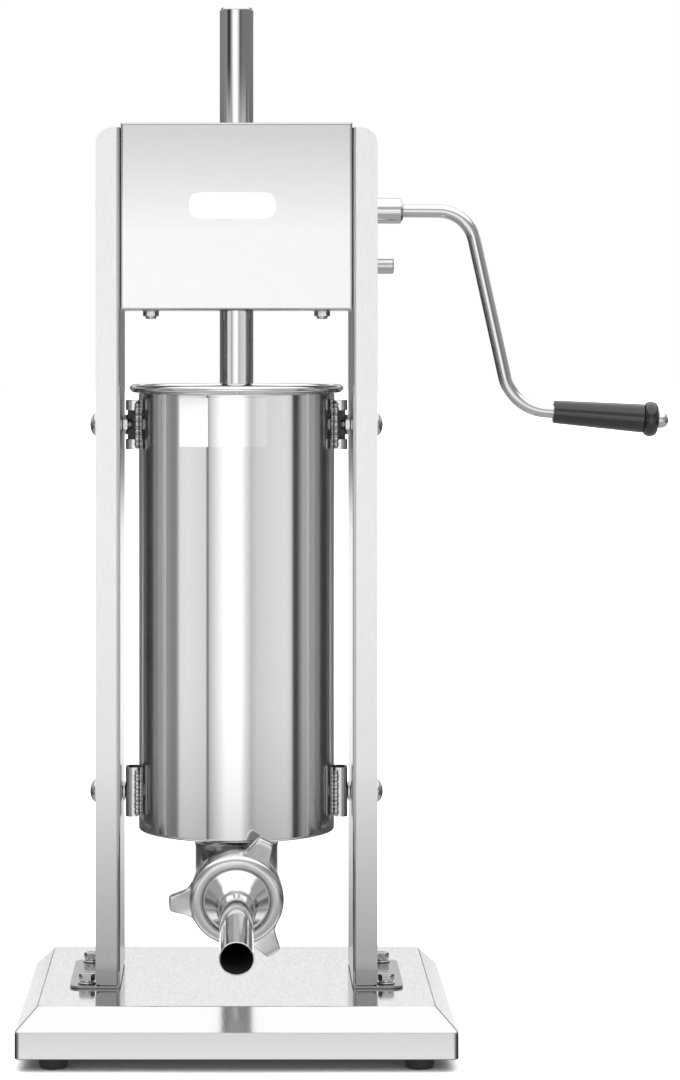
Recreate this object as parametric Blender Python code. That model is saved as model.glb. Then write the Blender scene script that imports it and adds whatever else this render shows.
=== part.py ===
"""A hand-cranked vertical sausage stuffer, at rest with its crank hanging and its piston half way down.

The base pan stands on four rubber feet. Two box columns carry a gear housing, and the cylinder hangs between
them on four pivot bolts. The crank turns the input shaft, whose pinion drives the large gear of the output
shaft, and that shaft's pinion drives the rack on the back of the piston rod. Lengths are in millimetres and
scaled once. +Z is up, the outlet faces -Y and the crank is on the +X side.
"""

from math import acos, cos, pi, radians, sin, sqrt, tan

import bmesh
import bpy
from mathutils import Matrix, Vector

MM = 0.001
GAP = 0.3  # between pieces that touch
SMOOTH_ANGLE = radians(35)
HOLE_SIDES = 12

# Base pan and feet
PAN_LENGTH, PAN_DEPTH = 305.0, 250.0
PAN_SLOPE = 15.0
PAN_SHEET = 1.5
SKIRT_BOTTOM, SKIRT_TOP, PAN_TOP = 8.8, 28.2, 42.7
PAN_LIP = 30.0
PAN_CORNER = 4.0
FOOT_RADIUS = 11.0
FOOT_X, FOOT_Y = 126.5, 107.0
FOOT_STEM = 2.7

# Columns
COLUMN_IN, COLUMN_OUT = 82.5, 100.0
COLUMN_HALF_DEPTH = 50.0
COLUMN_TOP = 653.6
COLUMN_SHEET = 1.5
COLUMN_CORNER = 12.0
BEND_RADIUS = 2.5
BEND_STEPS = 3
TAB_SHEET, TAB_OUT, TAB_CORNER = 1.5, 118.5, 8.0
TAB_BOLT_X = 106.5
TAB_BOLT_YS = (-39.0, 41.0)
BOLT_SHANK = 3.0

# Cylinder
BORE_RADIUS, BARREL_RADIUS = 70.0, 71.0
BARREL_BOTTOM = 148.9
RIM_RADIUS, RIM_HALF_WIDTH, RIM_CENTRE, RIM_HALF_HEIGHT = 77.35, 3.65, 467.6, 2.9
FLOOR_SHEET, FLOOR_BEND = 1.5, 2.5
OUTLET_HOLE = 27.5

# Cylinder brackets and their pivot bolts
BRACKET_OUT, BRACKET_IN, BRACKET_HALF_DEPTH, BRACKET_SHEET = 80.1, 71.4, 9.0, 2.0
BRACKET_HEIGHT = 35.5
BRACKET_BEND = 5.0
UPPER_PIN_Z, LOWER_PIN_Z = 441.5, 176.3
PIN_SLOT = 21.0
PIN_RADIUS, PIN_HEAD_RADIUS, PIN_HEAD_HEIGHT = 4.0, 8.5, 6.0
PIN_NUT_FLATS = 13.0

# Outlet elbow, nut and stuffing tube. Distances along the outlet count from the nut's front face.
OUTLET_DROP = radians(9)
OUTLET_FACE = Vector((0.0, -90.0, 111.0))
NECK_Y = -32.0
ELBOW_RADIUS, ELBOW_SHEET, ELBOW_BEND = 29.5, 2.0, 31.0
WELD_RADIUS = 7.5
SPIGOT_RADIUS = 28.0
SPIGOT_START, SPIGOT_END = -25.0, -7.8
NUT_RADIUS, NUT_BORE, NUT_LIP_RADIUS, NUT_DEPTH = 33.0, 28.4, 24.9, 18.0
# Half of a wing, as (distance from the nut's axis, half width)
WING_HALF_OUTLINE = ((30.3, 13.6), (32.6, 10.8), (35.0, 9.0), (39.0, 7.6), (43.0, 6.5), (47.3, 5.5))
WING_BACK, WING_FRONT = -11.0, -4.0
WING_ANGLES = (64.0, 184.0, 304.0)
TUBE_FLANGE, TUBE_CONE, TUBE_RADIUS, TUBE_SHEET = 27.2, 24.0, 11.8, 0.8
TUBE_CONE_END, TUBE_END = 11.0, 114.4

# Gear train
SHAFT_Y = 19.0
INPUT_Z, OUTPUT_Z = 597.0, 557.0
SHAFT_RADIUS, SHAFT_FLAT = 6.0, 1.2
GEAR_MODULE, INPUT_TEETH, OUTPUT_TEETH = 1.25, 20, 44
RACK_MODULE, RACK_PINION_TEETH = 2.0, 10
GEAR_PRESSURE, RACK_PRESSURE = radians(20), radians(25)
BACKLASH = 0.25
RACK_ADDENDUM, RACK_DEDENDUM = 0.8, 1.1
GEAR_X, GEAR_WIDTH = 40.0, 10.0
RACK_HALF_WIDTH = 6.0

# Gear housing
HOUSING_BOTTOM, HOUSING_TOP = 524.0, 657.0
HOUSING_HALF_WIDTH = COLUMN_IN - GAP
HOUSING_SHEET = 1.2
COVER_SIDE_FLANGE, COVER_BOTTOM_FLANGE = 8.0, 22.0
BRIDGE_SHEET = 2.2
HOUSING_BOLT_X = 62.0
BADGE_X, BADGE_Z, BADGE_LENGTH, BADGE_HEIGHT = -3.0, 598.0, 61.0, 18.0

# Piston
ROD_RADIUS, ROD_TOP = 12.2, 743.3
PISTON_BOTTOM, PISTON_HEIGHT, PISTON_RADIUS = 310.0, 14.0, 69.0
SEAL_GROOVE, SEAL_RADIUS = 64.0, 69.6
STUD_RADIUS = 7.6
NUT_RECESS, NUT_RECESS_RADIUS = 9.0, 15.0
VALVE_X, VALVE_STEM, VALVE_RECESS, VALVE_LIFT = 35.0, 3.0, 7.5, 3.0
RACK_TOP_BELOW_ROD, RACK_TEETH = 16.0, 56

# Crank
HUB_RADIUS, HUB_START, HUB_END = 9.4, 101.2, 121.4
ARM_RADIUS = 4.8
ARM_CORNER_OUT, ARM_CORNER_DOWN = (169.0, 596.7), (200.8, 452.6)
ARM_BEND_OUT, ARM_BEND_DOWN = 27.0, 33.0
GRIP_DROP = radians(4.3)
GRIP_START, GRIP_LENGTH = 30.6, 76.2
GRIP_RADIUS, GRIP_END_RADIUS, GRIP_FLANGE = 8.4, 10.4, 12.8
CAP_RADIUS, CAP_LENGTH = 6.0, 8.0


def clear_scene():
    for old in list(bpy.data.objects):
        bpy.data.objects.remove(old, do_unlink=True)


def material(name, colour, roughness, metallic):
    made = bpy.data.materials.new(name)
    made.use_nodes = True
    shader = made.node_tree.nodes["Principled BSDF"]
    shader.inputs["Base Color"].default_value = (*colour, 1.0)
    shader.inputs["Roughness"].default_value = roughness
    shader.inputs["Metallic"].default_value = metallic
    return made


def polished(name):
    return material(name, (0.80, 0.80, 0.81), 0.12, 1.0)


def brushed(name):
    return material(name, (0.72, 0.72, 0.72), 0.35, 1.0)


def zinc(name):
    return material(name, (0.62, 0.62, 0.62), 0.3, 1.0)


def bronze(name):
    return material(name, (0.60, 0.42, 0.20), 0.4, 1.0)


def dark_rubber(name):
    return material(name, (0.02, 0.02, 0.02), 0.7, 0.0)


def place(name, mesh, surface, location=(0, 0, 0), turn=None, parent=None):
    """An object of this mesh, with its place in millimetres, smooth except across sharp edges."""
    mesh.materials.clear()
    mesh.materials.append(surface)
    mesh.shade_smooth()
    mesh.set_sharp_from_angle(angle=SMOOTH_ANGLE)
    made = bpy.data.objects.new(name, mesh)
    bpy.context.collection.objects.link(made)
    made.parent = parent
    made.location = Vector(location) * MM
    if turn is not None:
        made.rotation_mode = "QUATERNION"
        made.rotation_quaternion = turn
    return made


def mesh_of(shape, name="shape"):
    """A mesh in metres of a bmesh drawn in millimetres, with its faces turned out."""
    bmesh.ops.recalc_face_normals(shape, faces=shape.faces)
    bmesh.ops.scale(shape, vec=(MM, MM, MM), verts=shape.verts)
    mesh = bpy.data.meshes.new(name)
    shape.to_mesh(mesh)
    shape.free()
    return mesh


def combined(first, others, operation):
    """The first mesh with each of the others added to it or cut from it."""
    base = bpy.data.objects.new("base", first)
    bpy.context.collection.objects.link(base)
    helpers = [base]
    for mesh in others:
        helper = bpy.data.objects.new("helper", mesh)
        bpy.context.collection.objects.link(helper)
        helpers.append(helper)
        step = base.modifiers.new("step", "BOOLEAN")
        step.operation = operation
        step.object = helper
    bpy.context.view_layer.update()
    graph = bpy.context.evaluated_depsgraph_get()
    result = bpy.data.meshes.new_from_object(base.evaluated_get(graph))
    for helper in helpers:
        bpy.data.objects.remove(helper, do_unlink=True)
    return result


def cut(mesh, *cutters):
    return combined(mesh, cutters, "DIFFERENCE")


def added(mesh, *others):
    return combined(mesh, others, "UNION")


def moved(mesh, matrix):
    mesh.transform(matrix)
    return mesh


def ring_of(shape, points):
    return [shape.verts.new(point) for point in points]


def skin(shape, rings, closed=False):
    """Faces between each ring and the next, and from the last to the first where it's closed."""
    pairs = list(zip(rings, rings[1:]))
    if closed:
        pairs.append((rings[-1], rings[0]))
    for low, high in pairs:
        count = len(low)
        for i in range(count):
            j = (i + 1) % count
            shape.faces.new((low[i], low[j], high[j], high[i]))


def lofted(rings):
    """A solid through rings of equally many points, capped at both ends."""
    shape = bmesh.new()
    made = [ring_of(shape, points) for points in rings]
    skin(shape, made)
    shape.faces.new(made[0])
    shape.faces.new(made[-1])
    return mesh_of(shape)


def tube_through(rings):
    """A solid through rings that come back to the first one, such as an outer skin and then an inner one."""
    shape = bmesh.new()
    skin(shape, [ring_of(shape, points) for points in rings], closed=True)
    return mesh_of(shape)


def turned(profile, segments=32):
    """A solid turned about Z from (radius, height) points. With no point on the axis it's a ring."""
    shape = bmesh.new()
    angles = [2 * pi * i / segments for i in range(segments)]
    rings = []
    for radius, height in profile:
        if radius == 0:
            rings.append([shape.verts.new((0, 0, height))])
        else:
            rings.append(ring_of(shape, [(radius * cos(a), radius * sin(a), height) for a in angles]))
    on_axis = len(rings[0]) == 1
    pairs = list(zip(rings, rings[1:]))
    if not on_axis:
        pairs.append((rings[-1], rings[0]))
    for low, high in pairs:
        for i in range(segments):
            j = (i + 1) % segments
            corners = [low[i % len(low)], low[j % len(low)], high[j % len(high)], high[i % len(high)]]
            distinct = list(dict.fromkeys(corners))
            if len(distinct) > 2:
                shape.faces.new(distinct)
    return mesh_of(shape)


def extruded(outline, low, high, holes=()):
    """An (x, y) outline, with holes in it, made solid between two heights."""
    shape = bmesh.new()
    edges = []
    for loop in (outline, *holes):
        points = ring_of(shape, at_height(loop, low))
        edges += [shape.edges.new((points[i - 1], points[i])) for i in range(len(points))]
    if holes:
        bmesh.ops.triangle_fill(shape, use_beauty=True, use_dissolve=False, edges=edges)
    else:
        shape.faces.new(points)
    raised = bmesh.ops.extrude_face_region(shape, geom=list(shape.faces))
    top = [part for part in raised["geom"] if isinstance(part, bmesh.types.BMVert)]
    bmesh.ops.translate(shape, vec=(0, 0, high - low), verts=top)
    return mesh_of(shape)


def along_x(mesh, y=0.0, z=0.0):
    """Turns a mesh drawn about Z so that its Z runs along +X, and puts its axis at this Y and Z."""
    turn = Matrix.Rotation(pi / 2, 4, "Y")
    return moved(mesh, Matrix.Translation(Vector((0, y, z)) * MM) @ turn)


def profile_along_x(mesh):
    """Turns a mesh drawn as a (y, z) outline along Z so that the outline stands upright along X."""
    columns = ((0, 0, 1, 0), (1, 0, 0, 0), (0, 1, 0, 0), (0, 0, 0, 1))
    return moved(mesh, Matrix(columns))


def profile_along_y(mesh):
    """Turns a mesh drawn as an (x, z) outline along Z so that the outline stands upright along Y."""
    return moved(mesh, Matrix.Rotation(pi / 2, 4, "X"))


def mirrored(mesh):
    """A copy on the other side of the machine's middle plane."""
    copy = mesh.copy()
    copy.transform(Matrix.Scale(-1, 4, (1, 0, 0)))
    copy.flip_normals()
    return copy


def arc(centre, radius, start, end, steps):
    """Points round a centre, with the angles in degrees."""
    angles = [radians(start + (end - start) * i / steps) for i in range(steps + 1)]
    return [(centre[0] + radius * cos(a), centre[1] + radius * sin(a)) for a in angles]


def circle(radius, x=0.0, y=0.0, steps=20):
    return arc((x, y), radius, 0, 360 - 360 / steps, steps - 1)


def hexagon(flats):
    corner = flats / sqrt(3)
    return [(corner * cos(radians(60 * i)), corner * sin(radians(60 * i))) for i in range(6)]


def rounded_rectangle(length, depth, radius, steps=3):
    x, y = length / 2 - radius, depth / 2 - radius
    points = []
    for sx, sy, start in ((1, 1, 0), (-1, 1, 90), (-1, -1, 180), (1, -1, 270)):
        points += arc((sx * x, sy * y), radius, start, start + 90, steps)
    return points


def at_height(outline, height):
    return [(x, y, height) for x, y in outline]


def hex_bolt(head_top, flats, head_height, washer_radius, washer_height, shank_end):
    """A hex bolt with its washer, head up, from the top of its head down to the end of its shank."""
    washer_top = head_top - head_height
    washer_bottom = washer_top - washer_height
    flare = 0.4
    stem = turned(
        [
            (0, shank_end),
            (BOLT_SHANK, shank_end),
            (BOLT_SHANK, washer_bottom),
            (washer_radius, washer_bottom),
            (washer_radius, washer_top),
            (0, washer_top),
        ],
        12,
    )
    head = extruded(hexagon(flats), washer_top - flare, head_top)
    return added(stem, head)


# Gears


def involute(base, radius):
    """How far round a flank has turned at this radius, from where it leaves the base circle."""
    if radius <= base:
        return 0.0
    pressure = acos(base / radius)
    return tan(pressure) - pressure


def gear_outline(teeth, module, pressure, addendum=1.0, dedendum=1.25, first_tooth=0.0):
    """A spur gear with involute flanks. One tooth points along first_tooth, in radians."""
    pitch = module * teeth / 2
    base = pitch * cos(pressure)
    root, tip = pitch - dedendum * module, pitch + addendum * module
    half = (pi * module / 2 - BACKLASH / 2) / 2 / pitch + involute(base, pitch)
    radii = [root] + [max(root, base) + (tip - max(root, base)) * step for step in (0.0, 1.0)]
    if base <= root:
        radii = radii[1:]  # the flank starts at the root circle
    points = []
    for tooth in range(teeth):
        middle = first_tooth + 2 * pi * tooth / teeth
        flank = [(r, half - involute(base, r)) for r in radii]
        points += [(r, middle - a) for r, a in flank] + [(r, middle + a) for r, a in reversed(flank)]
    return [(r * cos(a), r * sin(a)) for r, a in points]


def rack_outline(pitch_x, teeth, top, module, pressure):
    """A toothed strip in (x, z), with teeth towards +x about the pitch line, counted down from the top."""
    pitch = pi * module
    tip, root = pitch_x + RACK_ADDENDUM * module, pitch_x - RACK_DEDENDUM * module
    half = (pitch / 2 - BACKLASH / 2) / 2
    at_tip = half - RACK_ADDENDUM * module * tan(pressure)
    at_root = half + RACK_DEDENDUM * module * tan(pressure)
    back = root - 1.5
    margin = pitch * 0.4
    points = [(back, top - pitch * teeth - margin), (root, top - pitch * teeth - margin)]
    for tooth in range(teeth - 1, -1, -1):
        z = top - pitch * (tooth + 0.5)
        points += [(root, z - at_root), (tip, z - at_tip), (tip, z + at_tip), (root, z + at_root)]
    return points + [(root, top + margin), (back, top + margin)]


# Base


def pan_ring(inset, height, corner=PAN_CORNER):
    """The pan's outline drawn in by this much all round."""
    return at_height(rounded_rectangle(PAN_LENGTH - 2 * inset, PAN_DEPTH - 2 * inset, corner), height)


def base_pan():
    """A sheet pan with a sloped shoulder, open underneath, with a lip turned in round its bottom edge."""
    inner_slope = PAN_SHEET * tan(radians(22.5))
    rings = [
        pan_ring(PAN_LIP, SKIRT_BOTTOM),
        pan_ring(0, SKIRT_BOTTOM),
        pan_ring(0, SKIRT_TOP),
        pan_ring(PAN_SLOPE, PAN_TOP),
    ]
    lip_top = SKIRT_BOTTOM + PAN_SHEET
    inner_corner = PAN_CORNER - PAN_SHEET
    inside = [
        pan_ring(PAN_SLOPE + PAN_SHEET - inner_slope, PAN_TOP - PAN_SHEET, inner_corner),
        pan_ring(PAN_SHEET, SKIRT_TOP - inner_slope, inner_corner),
        pan_ring(PAN_SHEET, lip_top, inner_corner),
        pan_ring(PAN_LIP, lip_top),
    ]
    shape = bmesh.new()
    outer = [ring_of(shape, ring) for ring in rings]
    inner = [ring_of(shape, ring) for ring in inside]
    skin(shape, outer)
    skin(shape, inner)
    skin(shape, [inner[-1], outer[0]])
    shape.faces.new(outer[-1])
    shape.faces.new(inner[0])
    pan = mesh_of(shape)
    holes = []
    for side in (-1, 1):
        for y in TAB_BOLT_YS:
            hole = circle(BOLT_SHANK + GAP, side * TAB_BOLT_X, y, HOLE_SIDES)
            holes.append(extruded(hole, PAN_TOP - 5, PAN_TOP + 5))
        for end in (-1, 1):
            hole = circle(FOOT_STEM + GAP, side * FOOT_X, end * FOOT_Y, HOLE_SIDES)
            holes.append(extruded(hole, SKIRT_BOTTOM - 5, SKIRT_BOTTOM + 5))
    return cut(pan, *holes)


def rubber_foot():
    top = SKIRT_BOTTOM - GAP
    over_lip = SKIRT_BOTTOM + PAN_SHEET + GAP
    return turned(
        [
            (0, 0),
            (FOOT_RADIUS - 1.5, 0),
            (FOOT_RADIUS, 1.5),
            (FOOT_RADIUS, top),
            (FOOT_STEM, top),
            (FOOT_STEM, over_lip),
            (FOOT_STEM + 1.5, over_lip + 0.5),
            (FOOT_STEM - 0.3, over_lip + 4),
            (0, over_lip + 4),
        ],
        16,
    )


# Columns


def column_channel():
    """The right-hand column: a channel open to +X, with a foot tab bent outwards from its web."""
    depth, sheet, bend = COLUMN_HALF_DEPTH, COLUMN_SHEET, BEND_RADIUS
    low = PAN_TOP + GAP
    outer = [(COLUMN_OUT, -depth)]
    outer += arc((COLUMN_IN + bend, -depth + bend), bend, 270, 180, BEND_STEPS)
    outer += arc((COLUMN_IN + bend, depth - bend), bend, 180, 90, BEND_STEPS)
    outer.append((COLUMN_OUT, depth))
    inner = [(COLUMN_OUT, depth - sheet)]
    inner += arc((COLUMN_IN + bend, depth - bend), bend - sheet, 90, 180, BEND_STEPS)
    inner += arc((COLUMN_IN + bend, -depth + bend), bend - sheet, 180, 270, BEND_STEPS)
    inner.append((COLUMN_OUT, -depth + sheet))
    channel = extruded(outer + inner, low, COLUMN_TOP)
    tab_outline = [(COLUMN_IN + 0.4, -depth)]
    tab_outline += arc((TAB_OUT - TAB_CORNER, -depth + TAB_CORNER), TAB_CORNER, 270, 360, BEND_STEPS)
    tab_outline += arc((TAB_OUT - TAB_CORNER, depth - TAB_CORNER), TAB_CORNER, 0, 90, BEND_STEPS)
    tab_outline.append((COLUMN_IN + 0.4, depth))
    bolt_holes = [circle(BOLT_SHANK + GAP, TAB_BOLT_X, y, HOLE_SIDES) for y in TAB_BOLT_YS]
    tab = extruded(tab_outline, low, low + TAB_SHEET, bolt_holes)
    return cut(added(channel, tab), top_corner_cutter(0), *side_holes(SHAFT_RADIUS + 3.1))


def top_corner_cutter(inset):
    """What lies outside the rounded outer corner of a column's top."""
    radius, x, z = COLUMN_CORNER, COLUMN_OUT - inset, COLUMN_TOP - inset
    outline = arc((x - radius, z - radius), radius, 0, 90, 6)
    outline += [(x - radius, z + 5), (x + 5, z + 5), (x + 5, z - radius)]
    return profile_along_y(extruded(outline, -COLUMN_HALF_DEPTH - 5, COLUMN_HALF_DEPTH + 5))


def side_holes(shaft_hole):
    """Cutters along X for the two pivot bolts and the two shafts on the right-hand side."""
    cutters = []
    for z in (UPPER_PIN_Z, LOWER_PIN_Z):
        hole = circle(PIN_RADIUS + GAP, steps=HOLE_SIDES)
        cutters.append(along_x(extruded(hole, COLUMN_IN - 5, COLUMN_OUT + 5), 0, z))
    for z in (INPUT_Z, OUTPUT_Z):
        hole = circle(shaft_hole, steps=18)
        cutters.append(along_x(extruded(hole, COLUMN_IN - 5, COLUMN_OUT + 5), SHAFT_Y, z))
    return cutters


def column_cover(shaft_hole):
    """The sheet that closes the channel's open side and bends over its top."""
    x, z, sheet, radius = COLUMN_OUT - GAP, COLUMN_TOP - GAP, HOUSING_SHEET, COLUMN_CORNER
    low = PAN_TOP + GAP + TAB_SHEET + GAP
    inner_end = COLUMN_IN + COLUMN_SHEET + GAP
    corner = (x - radius, z - radius)
    outline = [(x, low)] + arc(corner, radius, 0, 90, 6) + [(inner_end, z)]
    outline += [(inner_end, z - sheet)] + arc(corner, radius - sheet, 90, 0, 6) + [(x - sheet, low)]
    half = COLUMN_HALF_DEPTH - COLUMN_SHEET - GAP
    sheet_mesh = profile_along_y(extruded(outline, -half, half))
    return cut(sheet_mesh, *side_holes(shaft_hole))


# Cylinder


def barrel():
    """The cylinder with its rolled rim and its floor, which has the outlet's hole."""
    roll = RIM_RADIUS - RIM_HALF_WIDTH
    turns = [radians(a) for a in range(-90, 181, 45)]
    rim = [(roll + RIM_HALF_WIDTH * cos(a), RIM_CENTRE + RIM_HALF_HEIGHT * sin(a)) for a in turns]
    profile = [(0, BARREL_BOTTOM)]
    profile += arc((BARREL_RADIUS - FLOOR_BEND, BARREL_BOTTOM + FLOOR_BEND), FLOOR_BEND, -90, 0, 2)
    profile += [(BARREL_RADIUS, RIM_CENTRE - RIM_HALF_HEIGHT)]
    profile += rim
    floor_top = BARREL_BOTTOM + FLOOR_SHEET
    profile += [(BORE_RADIUS, floor_top + 1.0), (BARREL_RADIUS - FLOOR_BEND, floor_top), (0, floor_top)]
    hole = circle(OUTLET_HOLE, 0, NECK_Y, 20)
    return cut(turned(profile, 40), extruded(hole, BARREL_BOTTOM - 5, BARREL_BOTTOM + 5))


def bracket(slotted):
    """A bent strip on the cylinder's right-hand side, open towards the cylinder. Height 0 is its pin's."""
    out, depth, bend, sheet = BRACKET_OUT, BRACKET_HALF_DEPTH, BRACKET_BEND, BRACKET_SHEET
    front, rear = (out - bend, -depth + bend), (out - bend, depth - bend)
    outline = [(BRACKET_IN, -depth)] + arc(front, bend, 270, 360, BEND_STEPS)
    outline += arc(rear, bend, 0, 90, BEND_STEPS) + [(BRACKET_IN, depth)]
    outline += [(BRACKET_IN, depth - sheet)] + arc(rear, bend - sheet, 90, 0, BEND_STEPS)
    outline += arc(front, bend - sheet, 360, 270, BEND_STEPS) + [(BRACKET_IN, -depth + sheet)]
    strip = extruded(outline, -BRACKET_HEIGHT / 2, BRACKET_HEIGHT / 2)
    if slotted:
        slot_end = depth - sheet - 0.1
        corners = ((60, -20), (90, -20), (90, slot_end), (60, slot_end))
        return cut(strip, extruded(corners, -PIN_SLOT / 2, PIN_SLOT / 2))
    return cut(strip, along_x(extruded(circle(PIN_RADIUS + GAP, steps=HOLE_SIDES), out - 5, out + 5)))


def pivot_bolt(inner_end):
    """A domed bolt through a column, along X, with its head outside."""
    head = COLUMN_OUT
    rise = PIN_HEAD_HEIGHT - 1
    dome = []
    for angle in (0, 30, 60):
        dome.append((PIN_HEAD_RADIUS * cos(radians(angle)), head + 1 + rise * sin(radians(angle))))
    profile = [(0, inner_end), (PIN_RADIUS, inner_end), (PIN_RADIUS, head)]
    profile += [(PIN_HEAD_RADIUS, head)] + dome + [(0, head + PIN_HEAD_HEIGHT)]
    return along_x(turned(profile, 16))


def pin_nut(inner, outer):
    """A thin hex nut with its axis along X, between these two places."""
    hole = circle(PIN_RADIUS + GAP, steps=HOLE_SIDES)
    return along_x(extruded(hexagon(PIN_NUT_FLATS), inner, outer, [hole]))


# Outlet


def outlet_axis():
    return Vector((0, -cos(OUTLET_DROP), -sin(OUTLET_DROP)))


def outlet_turn():
    """Turns +Z to the outlet's axis, with the mesh's +Y upwards."""
    return Matrix.Rotation(pi / 2 + OUTLET_DROP, 3, "X").to_quaternion()


def elbow():
    """A bent pipe from under the cylinder's floor to the threaded spigot."""
    corner_z = OUTLET_FACE.z + (NECK_Y - OUTLET_FACE.y) * tan(OUTLET_DROP)
    bend_turn = pi / 2 - OUTLET_DROP
    reach = ELBOW_BEND * tan(bend_turn / 2)
    top = BARREL_BOTTOM - GAP
    centre = Vector((0, NECK_Y - ELBOW_BEND, corner_z + reach))
    stations = [(Vector((0, NECK_Y, top)), Vector((0, 0, -1)), ELBOW_RADIUS + WELD_RADIUS)]
    flare = (3.0, 0.6)
    steps = 7
    for i in range(steps + 1):
        turn = bend_turn * i / steps
        place_on_bend = centre + ELBOW_BEND * Vector((0, cos(turn), -sin(turn)))
        radius = ELBOW_RADIUS + (flare[i] if i < len(flare) else 0)
        stations.append((place_on_bend, Vector((0, -sin(turn), -cos(turn))), radius))
    axis = outlet_axis()
    ends = ((SPIGOT_START, ELBOW_RADIUS), (SPIGOT_START + 1.5, SPIGOT_RADIUS), (SPIGOT_END, SPIGOT_RADIUS))
    for along, radius in ends:
        stations.append((OUTLET_FACE + axis * along, axis, radius))
    across = Vector((1, 0, 0))
    bore = ELBOW_RADIUS - ELBOW_SHEET
    segments = 20

    def ring(point, direction, radius):
        upright = direction.cross(across)
        angles = [2 * pi * i / segments for i in range(segments)]
        return [point + radius * (across * cos(a) + upright * sin(a)) for a in angles]

    outside = [ring(*station) for station in stations]
    inside = []
    for point, direction, radius in reversed(stations):
        inside.append(ring(point, direction, min(bore, radius - ELBOW_SHEET)))
    return tube_through(outside + inside)


def wing(angle):
    """One of the nut's three wings, drawn across its axis."""
    outline = [(x, -y) for x, y in WING_HALF_OUTLINE] + [(x, y) for x, y in reversed(WING_HALF_OUTLINE)]
    solid = extruded(outline, WING_BACK, WING_FRONT)
    return moved(solid, Matrix.Rotation(radians(angle), 4, "Z"))


def ring_nut():
    """Drawn about Z with its front face at height 0."""
    ring = turned(
        [
            (NUT_BORE, -NUT_DEPTH),
            (NUT_RADIUS - 1.0, -NUT_DEPTH),
            (NUT_RADIUS, -NUT_DEPTH + 1.0),
            (NUT_RADIUS, -3.5),
            (NUT_RADIUS - 1.2, -1.2),
            (NUT_RADIUS - 3.6, 0),
            (NUT_LIP_RADIUS + 0.8, 0),
            (NUT_LIP_RADIUS, -0.8),
            (NUT_LIP_RADIUS, -2.8),
            (NUT_BORE, -2.8),
        ],
        32,
    )
    return added(ring, *[wing(angle) for angle in WING_ANGLES])


def stuffing_tube():
    """A funnel and its straight tube, drawn about Z from the flange forwards."""
    flange_back, flange_front = -5.6, -3.1
    bore = TUBE_RADIUS - TUBE_SHEET
    return turned(
        [
            (TUBE_CONE - 1.0, flange_back),
            (TUBE_FLANGE, flange_back),
            (TUBE_FLANGE, flange_front),
            (TUBE_CONE + 0.2, flange_front),
            (TUBE_CONE - 0.3, -1.6),
            (TUBE_RADIUS + 2.2, TUBE_CONE_END - 2.2),
            (TUBE_RADIUS + 0.5, TUBE_CONE_END),
            (TUBE_RADIUS, TUBE_CONE_END + 3.0),
            (TUBE_RADIUS, TUBE_END),
            (bore, TUBE_END),
            (bore, TUBE_CONE_END + 2.5),
            (bore + 0.5, TUBE_CONE_END - 0.6),
            (bore + 2.2, TUBE_CONE_END - 3.2),
            (TUBE_CONE - 1.5, -2.2),
        ],
        24,
    )


def outlet_seal():
    return turned([(23.5, -7.5), (TUBE_FLANGE, -7.5), (TUBE_FLANGE, -5.9), (23.5, -5.9)], 24)


# Gear housing


def housing_cover(rear):
    """A folded cover. Its deep top flange is notched for the rod, and its other flanges are short."""
    face, sheet, bend, half = -COLUMN_HALF_DEPTH, HOUSING_SHEET, 2.0, HOUSING_HALF_WIDTH
    low, top, end = HOUSING_BOTTOM, HOUSING_TOP, -GAP / 2

    def filled(inset, y):
        """The (y, z) outline this far inside the cover's, back to this y."""
        corners = ((face + bend, low + bend, 270, 180), (face + bend, top - bend, 180, 90))
        points = [(y, low + inset)]
        for corner_y, corner_z, start, stop in corners:
            points += arc((corner_y, corner_z), bend - inset, start, stop, BEND_STEPS)
        return points + [(y, top - inset)]

    cover = profile_along_x(extruded(filled(0, end), -half, half))
    cutters = [profile_along_x(extruded(filled(sheet, end + 5), -half + sheet, half - sheet))]
    side_end = face + COVER_SIDE_FLANGE
    behind_sides = ((side_end, low - 5), (end + 5, low - 5), (end + 5, top - sheet), (side_end, top - sheet))
    for start in (-half - 5, half - sheet - 1):
        cutters.append(profile_along_x(extruded(behind_sides, start, start + sheet + 6)))
    bottom_end = face + COVER_BOTTOM_FLANGE
    above, below = low + sheet + 1, low - 5
    behind_bottom = ((bottom_end, below), (end + 5, below), (end + 5, above), (bottom_end, above))
    cutters.append(profile_along_x(extruded(behind_bottom, -half - 5, half + 5)))
    cutters.append(extruded(circle(ROD_RADIUS + 4.5), top - 5, top + 5))
    cover = cut(cover, *cutters)
    if rear:
        cover.transform(Matrix.Scale(-1, 4, (0, 1, 0)))
        cover.flip_normals()
    return cover


def bridge_plate(low, bolt_holes):
    """A plate across the housing that carries a rod bush."""
    half_x = HOUSING_HALF_WIDTH - HOUSING_SHEET - GAP
    half_y = COLUMN_HALF_DEPTH - HOUSING_SHEET - 1.0
    holes = [circle(ROD_RADIUS + 3.2)]
    if bolt_holes:
        holes += [circle(BOLT_SHANK + GAP, side * HOUSING_BOLT_X, 0, HOLE_SIDES) for side in (-1, 1)]
    outline = rounded_rectangle(2 * half_x, 2 * half_y, 3.0)
    return extruded(outline, low, low + BRIDGE_SHEET, holes)


def rod_bush(plate_low, below):
    """A bush round the piston rod. Its flange rests on a bridge plate, and its sleeve ends below it."""
    bore, sleeve, flange = ROD_RADIUS + 0.3, ROD_RADIUS + 2.9, ROD_RADIUS + 6.5
    end, above = plate_low - below, plate_low + BRIDGE_SHEET + GAP
    profile = [(bore, end), (sleeve, end), (sleeve, above), (flange, above)]
    return turned(profile + [(flange, above + 3.0), (bore, above + 3.0)], 22)


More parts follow.
